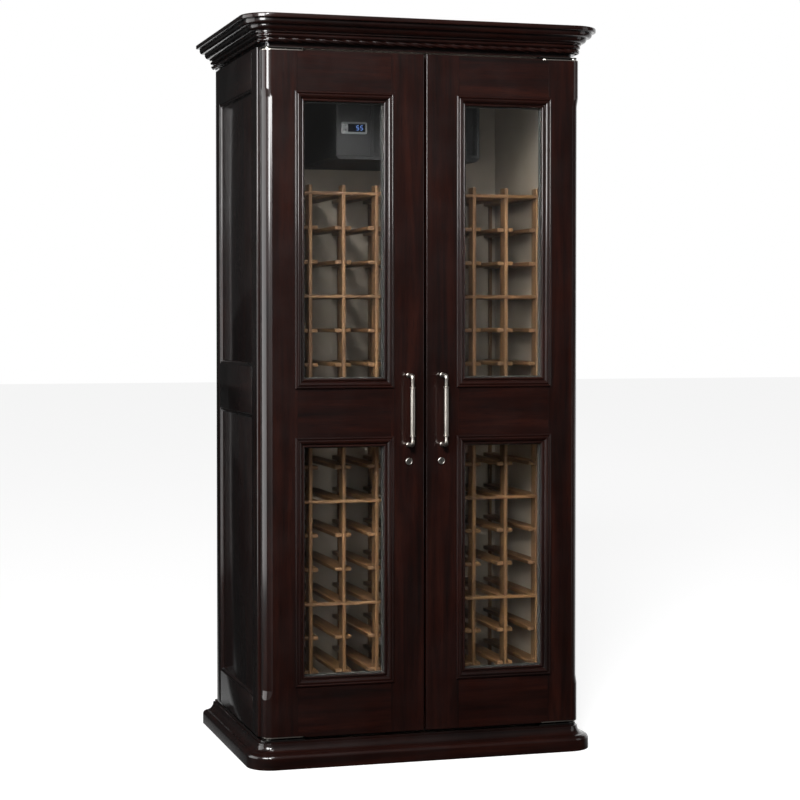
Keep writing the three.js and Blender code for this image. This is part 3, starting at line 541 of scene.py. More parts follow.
def makeCornice(spec):
    profile = [(-23.6, 0.3), (-24, 0.7), (-24, 9), (-9, 9.4), (-9, 22.5), (-0.4, 22.6), (0, 23), (0, 23.7)]
    profile += arc((0.3, 28), (4.4, 4.4), -76, 84, 10)
    profile += [(0.8, 32.7), (0.8, 33.5), (1.2, 33.9), (6.8, 34), (7.2, 34.4), (7.2, 37.2), (7.6, 37.6)]
    profile += arc((9.2, 50), (11.8, 12.1), -84, 0, 10)
    profile += [(21, 50.6), (21.5, 51), (25.6, 51.1)]
    profile += arc((26.6, 60), (8.4, 8.8), -88, 0, 10)
    profile += [(35, 64.2), (35.4, 64.8), (42.6, 65.2)]
    profile += arc((42.6, 68), (2.4, 2.8), -80, 0, 4)
    profile += arc((41.2, 73.4), (3.8, 3.6), 0, 90, 6)
    profile += [(-spec["skin"], spec["height"]), (-spec["skin"], 0.3)]
    raised = [(out, spec["bottom"] + height) for out, height in profile]
    shape = shapeOf(wrapped(raised, spec["half"], spec["front"], spec["radius"], spec["back"]))
    addShape("corniceCrown", shape, [woods["x"]], ["cornice_moulding"])


# Rope moulding: strands twisted round the path by Geometry Nodes
ropeSpec = {
    "offset": -3,
    "height": 1822.3,
    "radius": 6,
    "strands": 3,
    "strandSpacing": 34.7,
    "grooveShare": 0.34,  # depth of a groove as a share of the radius
    "step": 2.4,
    "sides": 24,
}


def makeRopeTree():
    sockets = {"Step": "Float", "Radius": "Float", "Strands": "Float", "Lead": "Float", "Groove": "Float"}
    tree, given = newTree("twistedRope", {**sockets, "Sides": "Int", "Material": "Material"})
    path = addNode(tree, "GeometryNodeMeshToCurve", {0: given["Geometry"]})
    even = addNode(tree, "GeometryNodeResampleCurve", {"Curve": path, "Length": given["Step"]}, mode="LENGTH")
    along = addNode(tree, "GeometryNodeSplineParameter").outputs["Length"]
    leads = addNode(tree, "ShaderNodeMath", {0: along, 1: given["Lead"]}, operation="DIVIDE")
    turns = addNode(tree, "ShaderNodeMath", {0: leads, 1: math.tau}, operation="MULTIPLY")
    twisted = addNode(tree, "GeometryNodeSetCurveTilt", {"Curve": even, "Tilt": turns})
    inputs = {"Resolution": given["Sides"], "Radius": given["Radius"]}
    ring = addNode(tree, "GeometryNodeCurvePrimitiveCircle", inputs)
    spot = addNode(tree, "GeometryNodeInputPosition")
    split = addNode(tree, "ShaderNodeSeparateXYZ", {0: spot}).outputs
    angle = addNode(tree, "ShaderNodeMath", {0: split[1], 1: split[0]}, operation="ARCTAN2")
    half = addNode(tree, "ShaderNodeMath", {0: given["Strands"], 1: 2.0}, operation="DIVIDE")
    lobe = addNode(tree, "ShaderNodeMath", {0: angle, 1: half}, operation="MULTIPLY")
    wave = addNode(tree, "ShaderNodeMath", {0: lobe}, operation="COSINE")
    crest = addNode(tree, "ShaderNodeMath", {0: wave}, operation="ABSOLUTE")
    valley = addNode(tree, "ShaderNodeMath", {0: 1.0, 1: crest}, operation="SUBTRACT")
    sunk = addNode(tree, "ShaderNodeMath", {0: given["Groove"], 1: valley}, operation="MULTIPLY")
    size = addNode(tree, "ShaderNodeMath", {0: 1.0, 1: sunk}, operation="SUBTRACT")
    moved = addNode(tree, "ShaderNodeVectorMath", {0: spot, "Scale": size}, operation="SCALE")
    lobed = addNode(tree, "GeometryNodeSetPosition", {"Geometry": ring, "Position": moved})
    inputs = {"Curve": twisted, "Profile Curve": lobed, "Fill Caps": True}
    closeTree(tree, addNode(tree, "GeometryNodeCurveToMesh", inputs), given["Material"])
    return tree


def makeRope(spec, cornice):
    radius, back = cornice["radius"], cornice["back"] - 0.4
    middleX, middleY = cornice["half"] - radius, cornice["front"] + radius
    reach = radius + spec["offset"]
    path = [(middleX + reach, back)]
    for side, start in ((1, 0), (-1, -90)):
        path += arc((side * middleX, middleY), (reach, reach), start, start - 90, 12)
    path.append((-middleX - reach, back))
    seed = bpy.data.meshes.new("ropePath")
    links = [(i, i + 1) for i in range(len(path) - 1)]
    seed.from_pydata([put(x, y, spec["height"]) for x, y in path], links, [])
    values = {
        "Step": spec["step"] / 1000,
        "Radius": spec["radius"] / 1000,
        "Strands": float(spec["strands"]),
        "Lead": spec["strandSpacing"] * spec["strands"] / 1000,
        "Groove": spec["grooveShare"],
        "Sides": spec["sides"],
        "Material": woods["x"],
    }
    mesh = grow("ropeStrands", seed, makeRopeTree(), values)
    mesh.shade_smooth()
    addPiece("ropeStrands", mesh, ["rope_moulding"])


makePlinth(plinthSpec)
makeCornice(corniceSpec)
makeRope(ropeSpec, corniceSpec)
print("plinth, cornice and rope made")


# Side frames: five boards with an ovolo run round each recessed panel
sideSpec = {
    "inner": 408,
    "outer": 428,
    "front": 44,
    "back": 565,
    "arris": 4,
    "frontStile": 64,
    "rearStile": 49,
    "bottom": 74,
    "top": 1805.7,
    "rails": ((74, 164), (885.5, 1006.5), (1709, 1805.7)),
    "panelFace": 421,
    "tongue": 9.5,
    "stickingWidth": 9,
    "stickingShare": 0.62,
}


def makeSide(spec, side):
    inner, outer, front, back, arris = (spec[key] for key in ("inner", "outer", "front", "back", "arris"))
    bottom, top = spec["bottom"], spec["top"]
    stileBack, rearFront = front + spec["frontStile"], back - spec["rearStile"]
    stile = [(inner, stileBack - 0.1), (inner, front)]
    stile += arc((outer - arris, front + arris), (arris, arris), -90, 0, 8)
    stile += [(outer, stileBack - 0.7), (outer - 0.6, stileBack - 0.1)]
    shape = shapeOf(extruded(stile, (bottom, top), "z"), side=side)
    addPart(shape, board(inner, outer, rearFront + 0.1, back, bottom, top, 0.9))
    for low, high in spec["rails"]:
        addPart(shape, board(inner, outer, stileBack + 0.1, rearFront - 0.1, low, high, 0.6), 1)
    profile = [(0, 0), (0, 0.4)] + arc((1.0, 7.0), (6.0, 5.4), -90, 0, 7)
    profile += [(7.6, 7.4), (spec["stickingWidth"], 8.4), (spec["stickingWidth"], 11.9), (0, 11.9)]
    sunk = [(inset, outer - 0.3 - depth * spec["stickingShare"]) for inset, depth in profile]
    (_, lowBottom), (lowTop, highBottom), (highTop, _) = spec["rails"]
    fields = (("upper", highBottom, highTop), ("lower", lowBottom, lowTop))
    for _, low, high in fields[::-1]:
        for i, (points, faces) in enumerate(frameParts(sunk, stileBack, rearFront, low, high)):
            part = outward([(x, y, z) for y, x, z in points], faces)
            addPart(shape, part, 1 if i % 2 == 0 else 0)
    addShape("sideFrame" + side, shape, [woods["z"], woods["y"]], ["side_frame_" + side.lower()])
    reach = spec["tongue"]
    for row, low, high in fields:
        edges = (stileBack - reach, rearFront + reach, low - reach, high + reach)
        panel = shapeOf(board(inner + 0.1, spec["panelFace"], *edges, 0.4), side=side)
        addShape(f"sidePanel{row.title()}{side}", panel, [woods["z"]], [f"side_panel_{row}_{side.lower()}"])


for side in ("Left", "Right"):
    makeSide(sideSpec, side)
print("sides made")


# Doors: stiles and rails, with a broad round on the outer edge that carries three stopped reeds;
# they are let in for the hinge leaves and bored for the lock
doorSpec = {
    "inner": 3,
    "outer": 422,
    "bottom": 75,
    "top": 1798.5,
    "thickness": 38,
    "arris": 2.6,
    "railArris": 0.8,
    "edgeRadius": 23,
    "reeds": {
        "valleys": ((399, -0.01), (412.3, 8.2), (421.2, 26), (421.7, 40)),
        "swells": (0.5, 1.2, 0.1),
        "steps": 14,
        "bottom": 194.5,
        "top": 1679,
        "runOut": 76,
        "lift": 8,
    },
    "windowInner": 83.5,
    "windowOuter": 341,
    "windows": ((202, 829.5), (952, 1696.5)),
    "lap": 7,
    "lip": 17,
    "lipFront": 30.6,
    "joint": 0.25,
    "railGap": 0.06,
    "leafStart": 315.7,
    "leafDepth": 23.3,
    "leafSink": 2.9,
    "lockX": 43.3,
    "lockZ": 764.5,
    "lockRadius": 7.8,
    "sealInset": 26,
    "sealBottom": 17,
    "sealTop": 25,
}


# A member's section as pairs of (place across the member, depth), with its outer arris rounded
def memberSection(outer, shoulder, lip, spec, arris, joint=False):
    side = 1 if shoulder > outer else -1
    steps = 18 if arris > 10 else 14
    turns = [math.pi / 2 * i / steps for i in range(steps, -1, -1)]
    section = [(outer + side * arris * (1 - math.sin(turn)), arris * (1 - math.cos(turn))) for turn in turns]
    groove = spec["joint"] if joint else 0
    section.append((shoulder - side * groove, 0))
    if joint:
        section.append((shoulder, groove))
    lipFront, thick = spec["lipFront"], spec["thickness"]
    section += [(shoulder, lipFront), (lip, lipFront), (lip, thick)]
    return section + [(outer + side * 0.5, thick), (outer, thick - 0.5)]


# What the reeds take from the round edge; it lifts out of the wood at both ends, which leaves pointed stops
def reedCutter(spec):
    reeds, radius = spec["reeds"], spec["edgeRadius"]
    middle = spec["outer"] - radius
    cut = []
    for (x0, y0), (x1, y1), swell in zip(reeds["valleys"], reeds["valleys"][1:], reeds["swells"]):
        length = math.hypot(x1 - x0, y1 - y0)
        for i in range(reeds["steps"]):
            share = i / reeds["steps"]
            rise = 4 * swell * share * (1 - share) / length
            cut.append((x0 + (x1 - x0) * share + (y1 - y0) * rise, y0 + (y1 - y0) * share - (x1 - x0) * rise))
    cut.append(reeds["valleys"][-1])
    clear = []
    for x, y in cut:
        away = Vector((x - middle, min(y, radius) - radius)).normalized() * (radius + reeds["lift"])
        clear.append((middle + away.x, max(y, radius) + away.y))
    around = [(spec["outer"] + 20, spec["thickness"] + 2), (spec["outer"] + 21, -42), (middle - 0.1, -24)]
    low, high, run = reeds["bottom"], reeds["top"], reeds["runOut"]
    levels = ((low - run, clear), (low, cut), (high, cut), (high + run, clear))
    return loft([[(x, y, z) for x, y in ring + around] for z, ring in levels])


def makeDoor(spec, side):
    shape = newShape(side)
    bottom, top, thick, lap, lip = (spec[key] for key in ("bottom", "top", "thickness", "lap", "lip"))
    left, right, ease = spec["windowInner"], spec["windowOuter"], spec["railArris"]
    stiles = (
        (spec["inner"], left + lap, left + lip, spec["arris"]),
        (spec["outer"], right - lap, right - lip, spec["edgeRadius"]),
    )
    for outer, shoulder, lipEdge, arris in stiles:
        section = memberSection(outer, shoulder, lipEdge, spec, arris, joint=True)
        middle = (outer + shoulder) / 2
        rings = []
        for z, inset in ((bottom, ease), (bottom + ease, 0), (top - ease, 0), (top, ease)):
            pulls = [min(1.0, inset / abs(x - middle)) if inset else 0 for x, _ in section]
            depths = [min(max(y, inset), thick - inset) for _, y in section]
            rings.append([(x + (middle - x) * pull, y, z) for (x, _), pull, y in zip(section, pulls, depths)])
        addPart(shape, loft(rings))
    (lowBottom, lowTop), (highBottom, highTop) = spec["windows"]
    lockLow, lockHigh, lipFront = lowTop - lap, highBottom + lap, spec["lipFront"]
    lockRail = [(lockLow, 0), (lockHigh, 0), (lockHigh, lipFront), (highBottom + lip, lipFront)]
    lockRail += [(highBottom + lip, thick), (lowTop - lip, thick), (lowTop - lip, lipFront), (lockLow, lipFront)]
    rails = (
        memberSection(bottom, lowBottom + lap, lowBottom + lip, spec, ease),
        memberSection(top, highTop - lap, highTop - lip, spec, ease),
        lockRail,
    )
    ends = (left + lap + spec["railGap"], right - lap - spec["railGap"])
    for section in rails:
        addPart(shape, extruded([(y, z) for z, y in section], ends, "x"), 1)
    pockets = newShape(side)
    sink = spec["leafSink"]
    for low, high in ((top - sink, top + 4), (bottom - 4, bottom + sink)):
        addPart(pockets, board(spec["leafStart"], spec["outer"] + 4, -4, spec["leafDepth"], low, high, 0))
    addPart(pockets, reedCutter(spec))
    bore = [(0, -4), (spec["lockRadius"], -4), (spec["lockRadius"], thick + 4), (0, thick + 4)]
    addPart(pockets, turned(bore, 32, "y", (spec["lockX"], 0, spec["lockZ"])))
    mesh = carved(meshFrom("doorFrame" + side, shape, [woods["z"], woods["x"]]), pockets, woods["z"], sharpAngle=7)
    old = "door_frame_" + side.lower()
    addPiece("doorFrame" + side, mesh, [old], body="door_" + side.lower())


# Glazing: mouldings with a bead, a broad ogee band and an inner bead, and two panes on a spacer bar
glazingSpec = {"width": 25, "seat": 10, "lap": 7.3, "lift": -0.3, "edge": 7.5, "paneFronts": (10.4, 26.2), "pane": 4}


def makeGlazing(spec, door, side):
    width, seat, lap, edge = spec["width"], spec["seat"], spec["lap"], spec["edge"]
    profile = [(0, spec["lift"]), (0, -3.2)]
    profile += arc((3.0, -3.2), (3.0, 2.8), 180, 350, 9)
    profile += [(6.2, -3.4), (6.6, -3.7)]
    profile += arc((9.6, -3.4), (3.0, 2.2), 200, 290, 5)
    profile += [(12.6, -4.9), (14.6, -3.4), (16.4, -1.2), (17.3, 1.2), (17.8, 3.0), (18.3, 3.4), (18.9, 3.0)]
    profile += arc((21.9, 3.6), (3.0, 2.9), 190, 352, 8)
    profile += [(width, 4.6), (width, seat), (lap, seat), (lap, spec["lift"])]
    bar = [(0.6, 14.5), (19.6, 14.5), (20.2, 15.4), (20.2, 25.2), (19.6, 26.1), (0.6, 26.1)]
    left, right, body = door["windowInner"], door["windowOuter"], "door_" + side.lower()
    for row, (bottom, top) in zip(("lower", "upper"), door["windows"]):
        label, old = row.title() + side, f"{row}_{side.lower()}"
        shape = newShape(side)
        for i, part in enumerate(frameParts(profile, left, right, bottom, top)):
            addPart(shape, part, 1 if i % 2 == 0 else 0)
        addShape("glazingBead" + label, shape, [woods["z"], woods["x"]], ["glazing_moulding_" + old], body=body)
        x0, x1, z0, z1 = left + edge, right - edge, bottom + edge, top - edge
        boards = [board(x0, x1, front, front + spec["pane"], z0, z1, 0.4, 1) for front in spec["paneFronts"]]
        panes = shapeOf(*boards, side=side)
        addShape("panes" + label, panes, [finishes["glass"]], ["glass_" + old], body)
        spacer = shapeOf(*frameParts(bar, x0, x1, z0, z1), side=side)
        addShape("spacerBar" + label, spacer, [finishes["spacer"]], (), body)


# Magnetic seal on the door's back, with a hollow bellows and a flat magnet strip
def makeSeal(door, side):
    profile = [(0.3, 38.3), (15.7, 38.3), (16, 38.7), (15.4, 39.6), (14.2, 40.1), (15.6, 40.9), (15.9, 41.9)]
    profile += [(15.2, 43.3), (14.4, 43.7), (1.6, 43.7), (0.8, 43.3), (0.1, 41.9), (0.4, 40.9), (1.8, 40.1)]
    profile += [(0.6, 39.6), (0, 38.7)]
    left, right = door["inner"] + 1, door["outer"] - door["sealInset"]
    parts = frameParts(profile, left, right, door["bottom"] + door["sealBottom"], door["top"] - door["sealTop"])
    old, body = "gasket_" + side.lower(), "door_" + side.lower()
    addShape("doorSeal" + side, shapeOf(*parts, side=side), [finishes["rubber"]], [old], body)


for side in ("Left", "Right"):
    makeDoor(doorSpec, side)
    makeGlazing(glazingSpec, doorSpec, side)
    makeSeal(doorSpec, side)
print("doors made")


# Handles: a slightly swelling grip between ringed collars, on necks and turned posts with ball elbows
handleSpec = {
    "x": 44.5,
    "reach": 36.5,
    "posts": (807.4, 984.1),
    "gripBottom": 829.5,
    "gripTop": 955.5,
    "neck": 3.7,
    "grip": 5.8,
    "swell": 0.35,
    "collar": 7.6,
    "bend": 8.5,
    "bendTurns": ((0, 4.6), (15, 4.9), (30, 5.3), (45, 5.6), (60, 5.7), (75, 5.5), (90, 5.1)),
    "post": ((-25, 4.5), (-21, 4.1), (-15, 3.9), (-10, 4.1), (-7, 4.6), (-5.4, 5.3), (-5, 5.4)),
    "foot": ((-4.4, 5.0), (-4, 5.0), (-3.6, 5.8), (-3.1, 6.3), (-2.4, 6.5), (-1.2, 6.5), (-0.35, 6.3)),
}


# Neck, bend and post of a pull as one bar that swells at the bend and ends in a small foot
def bentBar(spec, post, gripEnd, up):
    reach, bend, neck = spec["reach"], spec["bend"], spec["neck"]
    path = [(-reach, gripEnd - up * 1.5, 0, neck), (-reach, gripEnd + up * 6, 0, neck + 0.1)]
    path.append((-reach, post - up * (bend + 3), 0, neck + 0.5))
    for turn, thick in spec["bendTurns"]:
        angle = math.radians(turn)
        path.append((bend * (1 - math.cos(angle)) - reach, post - up * bend * (1 - math.sin(angle)), turn, thick))
    path += [(y, post, 90, thick) for y, thick in spec["post"] + spec["foot"]]
    rings = []
    for y, z, turn, thick in path:
        forward, rise = math.cos(math.radians(turn)), -up * math.sin(math.radians(turn))
        outline = [(thick * math.cos(math.pi * i / 14), thick * math.sin(math.pi * i / 14)) for i in range(28)]
        rings.append([(spec["x"] + a, y + b * forward, z + b * rise) for a, b in outline])
    return loft(rings)


def makeHandle(spec, side):
    low, high = spec["gripBottom"], spec["gripTop"]
    neck, grip, collar = spec["neck"], spec["grip"], spec["collar"]
    end = [(0, -0.4), (neck + 0.5, -0.4), (neck + 1, 0), (collar - 0.9, 0)]
    end += arc((collar - 0.9, 0.9), (0.9, 0.9), -90, 90, 6)
    end += [(collar - 2.1, 2.1), (collar - 2.1, 3.1)] + arc((collar - 1.5, 4), (0.9, 0.9), -90, 90, 6)
    end += [(grip - 0.3, 5.1), (grip - 0.3, 5.9), (grip, 6.3)]
    shares = [i / 12 for i in range(1, 12)]
    profile = [(out, low + up) for out, up in end]
    profile += [(grip + spec["swell"] * math.sin(math.pi * s), low + 7 + (high - low - 14) * s) for s in shares]
    profile += [(out, high - up) for out, up in end[::-1]]
    shape = shapeOf(turned(profile, 40, "z", (spec["x"], -spec["reach"], 0)), side=side)
    for post, gripEnd, up in zip(spec["posts"], (low, high), (-1, 1)):
        addPart(shape, bentBar(spec, post, gripEnd, up))
    old, body = "handle_" + side.lower(), "door_" + side.lower()
    addShape("pullHandle" + side, shape, [finishes["nickel"]], [old], body)


# Locks: a rounded ring about a plug with a keyway, and a cam held by a nut at the back
lockSpec = {
    "plug": 6.5,
    "plugFront": -1.9,
    "keyHalf": 0.75,
    "keySlot": 3.6,
    "keyFloor": 30,
    "barrel": 7.4,
    "nut": 6.6,
    "cam": 28,
    "camWidth": 8,
    "camFront": 47,
    "camBack": 50,
    "back": 51.5,
}


def makeLock(spec, door, side):
    x, z = door["lockX"], door["lockZ"]
    rim = [(6.9, -0.4), (8.4, -0.4), (9, -0.9), (9, -1.5), (8.3, -2.1), (7.4, -2.3), (6.9, -2.0), (6.7, -1.6)]
    turns = [math.tau * i / 40 for i in range(40)]
    ring = [[(x + r * math.cos(turn), y, z + r * math.sin(turn)) for r, y in rim] for turn in turns]
    shape = newShape(side)
    addPart(shape, loft(ring, isLoop=True), 1)
    half, slot, plug, floor = spec["keyHalf"], spec["keySlot"], spec["plug"], spec["keyFloor"]
    top = math.asin(half / plug)
    turns = [top + (math.pi - 2 * top) * i / 14 for i in range(15)]
    for sign in (1, -1):
        cheek = [(x + sign * plug * math.sin(turn), z + plug * math.cos(turn)) for turn in turns]
        ends = [(x + a, z + sign * b) for a, b in ((-half, slot), (half, slot), (half, 6.4), (-half, 6.4))]
        for section in (cheek, ends):
            addPart(shape, extruded(section, (spec["plugFront"], floor), "y"), 1)
    # a black gloss block fills the keyway 1.6 mm behind the plug's face: painted shade in the keyhole
    addPart(shape, board(x - half + 0.02, x + half - 0.02, 1.6, floor, z - slot, z + slot, 0), 2)
    barrel = [(0, 30.2), (spec["barrel"], 30.2), (spec["barrel"], 44.2), (6, 45.4), (0, 45.4)]
    addPart(shape, turned(barrel, 32, "y", (x, 0, z)))
    turns = [math.tau * i / 6 for i in range(6)]
    nut = [(x + spec["nut"] * math.cos(turn), z + spec["nut"] * math.sin(turn)) for turn in turns]
    addPart(shape, extruded(nut, (45.4, 46.9), "y"))
    wide, camBack, back = spec["camWidth"] / 2, spec["camBack"], spec["back"]
    addPart(shape, board(x - wide, x + wide, spec["camFront"], camBack, z - 5, z + spec["cam"], 0.5))
    tip = [(0, camBack), (4.6, camBack), (4.6, back - 0.5), (4.1, back), (0, back)]
    addPart(shape, turned(tip, 24, "y", (x, 0, z)))
    mats = [finishes["nickel"], finishes["lockNickel"], finishes["screen"]]
    old = "lock_" + side.lower()
    addShape("keyLock" + side, shape, mats, [old], old)


# Hinges: leaves let into the doors' ends and plates with the pins on the case, all with sunk screws
hingeSpec = {
    "length": 106,
    "tail": 11.3,
    "thick": 2.6,
    "plate": 3,
    "plateDepth": 42,
    "seats": (1805.7, 66.3),
    "pivot": (407, 14, 0),
    "pin": 3.9,
    "leafScrews": ((12, 11.5), (42, 11.5), (70, 11.5)),
    "plateScrews": ((12, 21), (44, 32), (44, 17), (76, 32)),
}


def screwHead(x, y, z, up, radius=3.1):
    profile = [(0, -0.8), (0.9, -0.8), (1.1, 0), (radius - 0.4, 0.12), (radius, 0), (radius, -0.6)]
    profile += [(radius - 1.4, -1.4), (0, -1.4)]
    return turned([(r, up * h) for r, h in profile], 20, "z", (x, y, z))


def makeHinges(spec, door, side):
    end, edge, thick = door["outer"], door["edgeRadius"], spec["thick"]
    start, middle, tail = end - spec["length"], end - edge, spec["tail"]
    body, screws = "door_" + side.lower(), finishes["screw"]
    places = list(zip(("top", "bottom"), (1, -1), (door["top"], door["bottom"]), spec["seats"]))
    for place, up, leafFace, _ in places:
        low = leafFace - thick if up > 0 else leafFace
        rings = []
        for z, inset in ((low, 0.3), (low + 0.3, 0), (low + thick - 0.3, 0), (low + thick, 0.3)):
            outline = arc((middle, edge), (edge - 0.4 - inset,) * 2, -90, 0, 12)
            outline += arc((start + tail, edge - tail), (tail - inset,) * 2, 90, 270, 14)
            rings.append([(x, y, z) for x, y in outline])
        leaf = shapeOf(loft(rings), side=side)
        for along, y in spec["leafScrews"]:
            addPart(leaf, screwHead(start + along, y, leafFace + up * 0.02, up), 1)
        old = f"hinge_leaf_{place}_{side.lower()}"
        mats = [finishes["nickel"], screws]
        addShape(f"hingeLeaf{place.title()}{side}", leaf, mats, [old], body)
    for place, up, leafFace, seat in places:
        face = seat - up * spec["plate"]
        rings = []
        for z, inset in ((seat, 0), (face + up * 0.4, 0), (face, 0.4)):
            reach = edge - 4 - inset
            turn = math.degrees(math.acos((edge - 8 - inset) / reach))
            outline = arc((middle, edge), (reach, reach), turn - 90, 0, 8)
            outline += [(end - 4 - inset, spec["plateDepth"] - inset), (start + inset, spec["plateDepth"] - inset)]
            rings.append([(x, y, z) for x, y in outline + [(start + inset, 8 + inset)]])
        plate = shapeOf(loft(rings), side=side)
        profile = [(0, seat - up), (6, seat - up), (6, leafFace + up * 0.9), (5.6, leafFace + up * 0.3)]
        profile += [(spec["pin"], leafFace + up * 0.3), (spec["pin"], leafFace - up * 6.4), (3.3, leafFace - up * 7)]
        addPart(plate, turned(profile + [(0, leafFace - up * 7)], 28, "z", spec["pivot"]), 1)
        for along, y in spec["plateScrews"]:
            addPart(plate, screwHead(start + along, y, face - up * 0.02, -up), 1)
        old = f"pivot_plate_{place}_{side.lower()}"
        # the pivot plates take the darkened nickel: painted shade
        addShape(f"pivotPlate{place.title()}{side}", plate, [finishes["plate"], screws], [old])


for side in ("Left", "Right"):
    makeHandle(handleSpec, side)
    makeLock(lockSpec, doorSpec, side)
    makeHinges(hingeSpec, doorSpec, side)
print("handles, locks and hinges made")


# Bottle rack: rails, uprights and crossbars repeated by Geometry Nodes
rackSpec = {
    "columnPitch": 88.9,
    "columns": 9,
    "rows": 15,
    "rowPitch": 88.6,
    "topRow": 1451.4,
    "top": 1473,
    "floor": 115.3,
    "front": 140,
    "upright": 9,
    "frontDepth": 38,
    "railHeight": 10,
    "railWidth": 43,
    "railFront": 149,
    "railBack": 525,
    "back": 534.7,
    "wall": 371.7,
    "crossbar": 8,
    "crossbars": 5,
    "rowsPerCrossbar": 3,
}


def makeRack(spec):
    pitch, front, reach, bars = spec["columnPitch"], spec["front"], spec["wall"], spec["crossbars"]
    firstColumn = -(spec["columns"] - 1) / 2 * pitch
    grid = {key: spec[key] for key in ("columns", "columnPitch", "rows", "rowPitch", "topRow")}
    keys = ("upright", "railHeight", "railWidth", "crossbar")
    halfUp, halfHigh, half, halfBar = (spec[key] / 2 for key in keys)

    def addGrid(name, boards, axis, replaced=(), **changes):
        mesh = growGrid(name, shapeOf(*boards), {**grid, **changes}, rackWoods[axis])
        addPiece(name, smoothed(mesh, 50), replaced)

    def rail(left, right):
        return [board(left, right, spec["railFront"], spec["railBack"], -halfHigh, halfHigh, 1.4, 3)]

    ladders = [f"rack_ladder_{i + 1}" for i in range(spec["columns"])]
    inner = {"columns": spec["columns"] - 2, "firstColumn": firstColumn + pitch}
    addGrid("rackRails", rail(-half, half), "y", ladders, **inner)
    wallGap = reach + firstColumn
    addGrid("wallCleatsLeft", rail(-wallGap, half), "y", columns=1, firstColumn=firstColumn)
    addGrid("wallCleatsRight", rail(-half, wallGap), "y", columns=1, firstColumn=-firstColumn)
    depths = ((front, front + spec["frontDepth"]), (spec["railBack"] + 0.1, spec["back"]))
    posts = [board(-halfUp, halfUp, near, far, spec["floor"], spec["top"], 1.0, 3) for near, far in depths]
    addGrid("rackUprights", posts, "z", firstColumn=firstColumn, rows=1, topRow=0)
    bar = [board(-reach, reach, front - 0.4, front + spec["crossbar"], -halfBar, halfBar, 1.0, 3)]
    rows = {"columns": 1, "firstColumn": 0, "rows": bars, "rowPitch": spec["rowPitch"] * spec["rowsPerCrossbar"]}
    addGrid("rackCrossbars", bar, "x", [f"rack_crossbar_{i + 1}" for i in range(bars)], **rows)


makeRack(rackSpec)
print("rack made")


# Cooling unit: a control panel and an expanded-metal grille on the front of the steel case
coolerSpec = {
    "half": 195,
    "front": 152.7,
    "bottom": 1549,
    "top": 1736.7,
    "cover": 3,
    "controlWidth": 91,
    "bezelLeft": 13,
    "bezelWidth": 68.5,
    "bezelBottom": 1606,
    "bezelHeight": 31,
    "bezelThick": 3,
    "screenLeft": -164.5,
    "screenWidth": 46,
    "screenBottom": 1611,
    "screenHeight": 21,
    "digitPlaces": (-142.5, -132.3),
    "digit": (6.2, 11.4),
    "keyX": -172.35,
    "keyHeights": (1615.5, 1627.5),
    "keyHole": (4.8, 4.3),
    "vents": 9,
    "ventStart": 8,
    "ventPitch": 6.4,
    "ventWidth": 4.2,
    "ventDrops": (10.4, 9.2),
    "rim": 9,
    "meshPitchX": 8.4,
    "meshPitchZ": 5.6,
    "strand": 0.9,
}


def roundedBox(x0, x1, z0, z1, radius, front, back, ease=0.6):
    left, right, low, high = x0 + radius, x1 - radius, z0 + radius, z1 - radius
    corners = ((right, high), (left, high), (left, low), (right, low))
    rings = []
    for y, inset in ((back, 0), (front + ease, 0), (front + ease * 0.3, ease * 0.3), (front, ease)):
        arcs = [arc(corner, (radius - inset,) * 2, 90 * i, 90 * i + 90, 6) for i, corner in enumerate(corners)]
        rings.append([(a, y, b) for spots in arcs for a, b in spots])
    return loft(rings)


# The figure 5 in five segments, slanted a little as displays are
def digitParts(x, z, width, height, front):
    half, reach = height / 2, height * 0.06
    ends = (
        ((0, height), (width, height)),
        ((0, height), (0, half)),
        ((0, half), (width, half)),
        ((width, half), (width, 0)),
        ((0, 0), (width, 0)),
    )
    parts = []
    for near, far in ends:
        start, end = Vector(near), Vector(far)
        along = (end - start).normalized() * reach
        across = Vector((-along.y, along.x))
        start, end = start + along * 0.7, end - along * 0.7
        outline = [start, start + along + across, end - along + across]
        outline += [end, end - along - across, start + along - across]
        slanted = [(x + p.x + 0.12 * p.y, z + p.y) for p in outline]
        parts.append(extruded(slanted, (front, front + 0.25), "y"))
    return parts


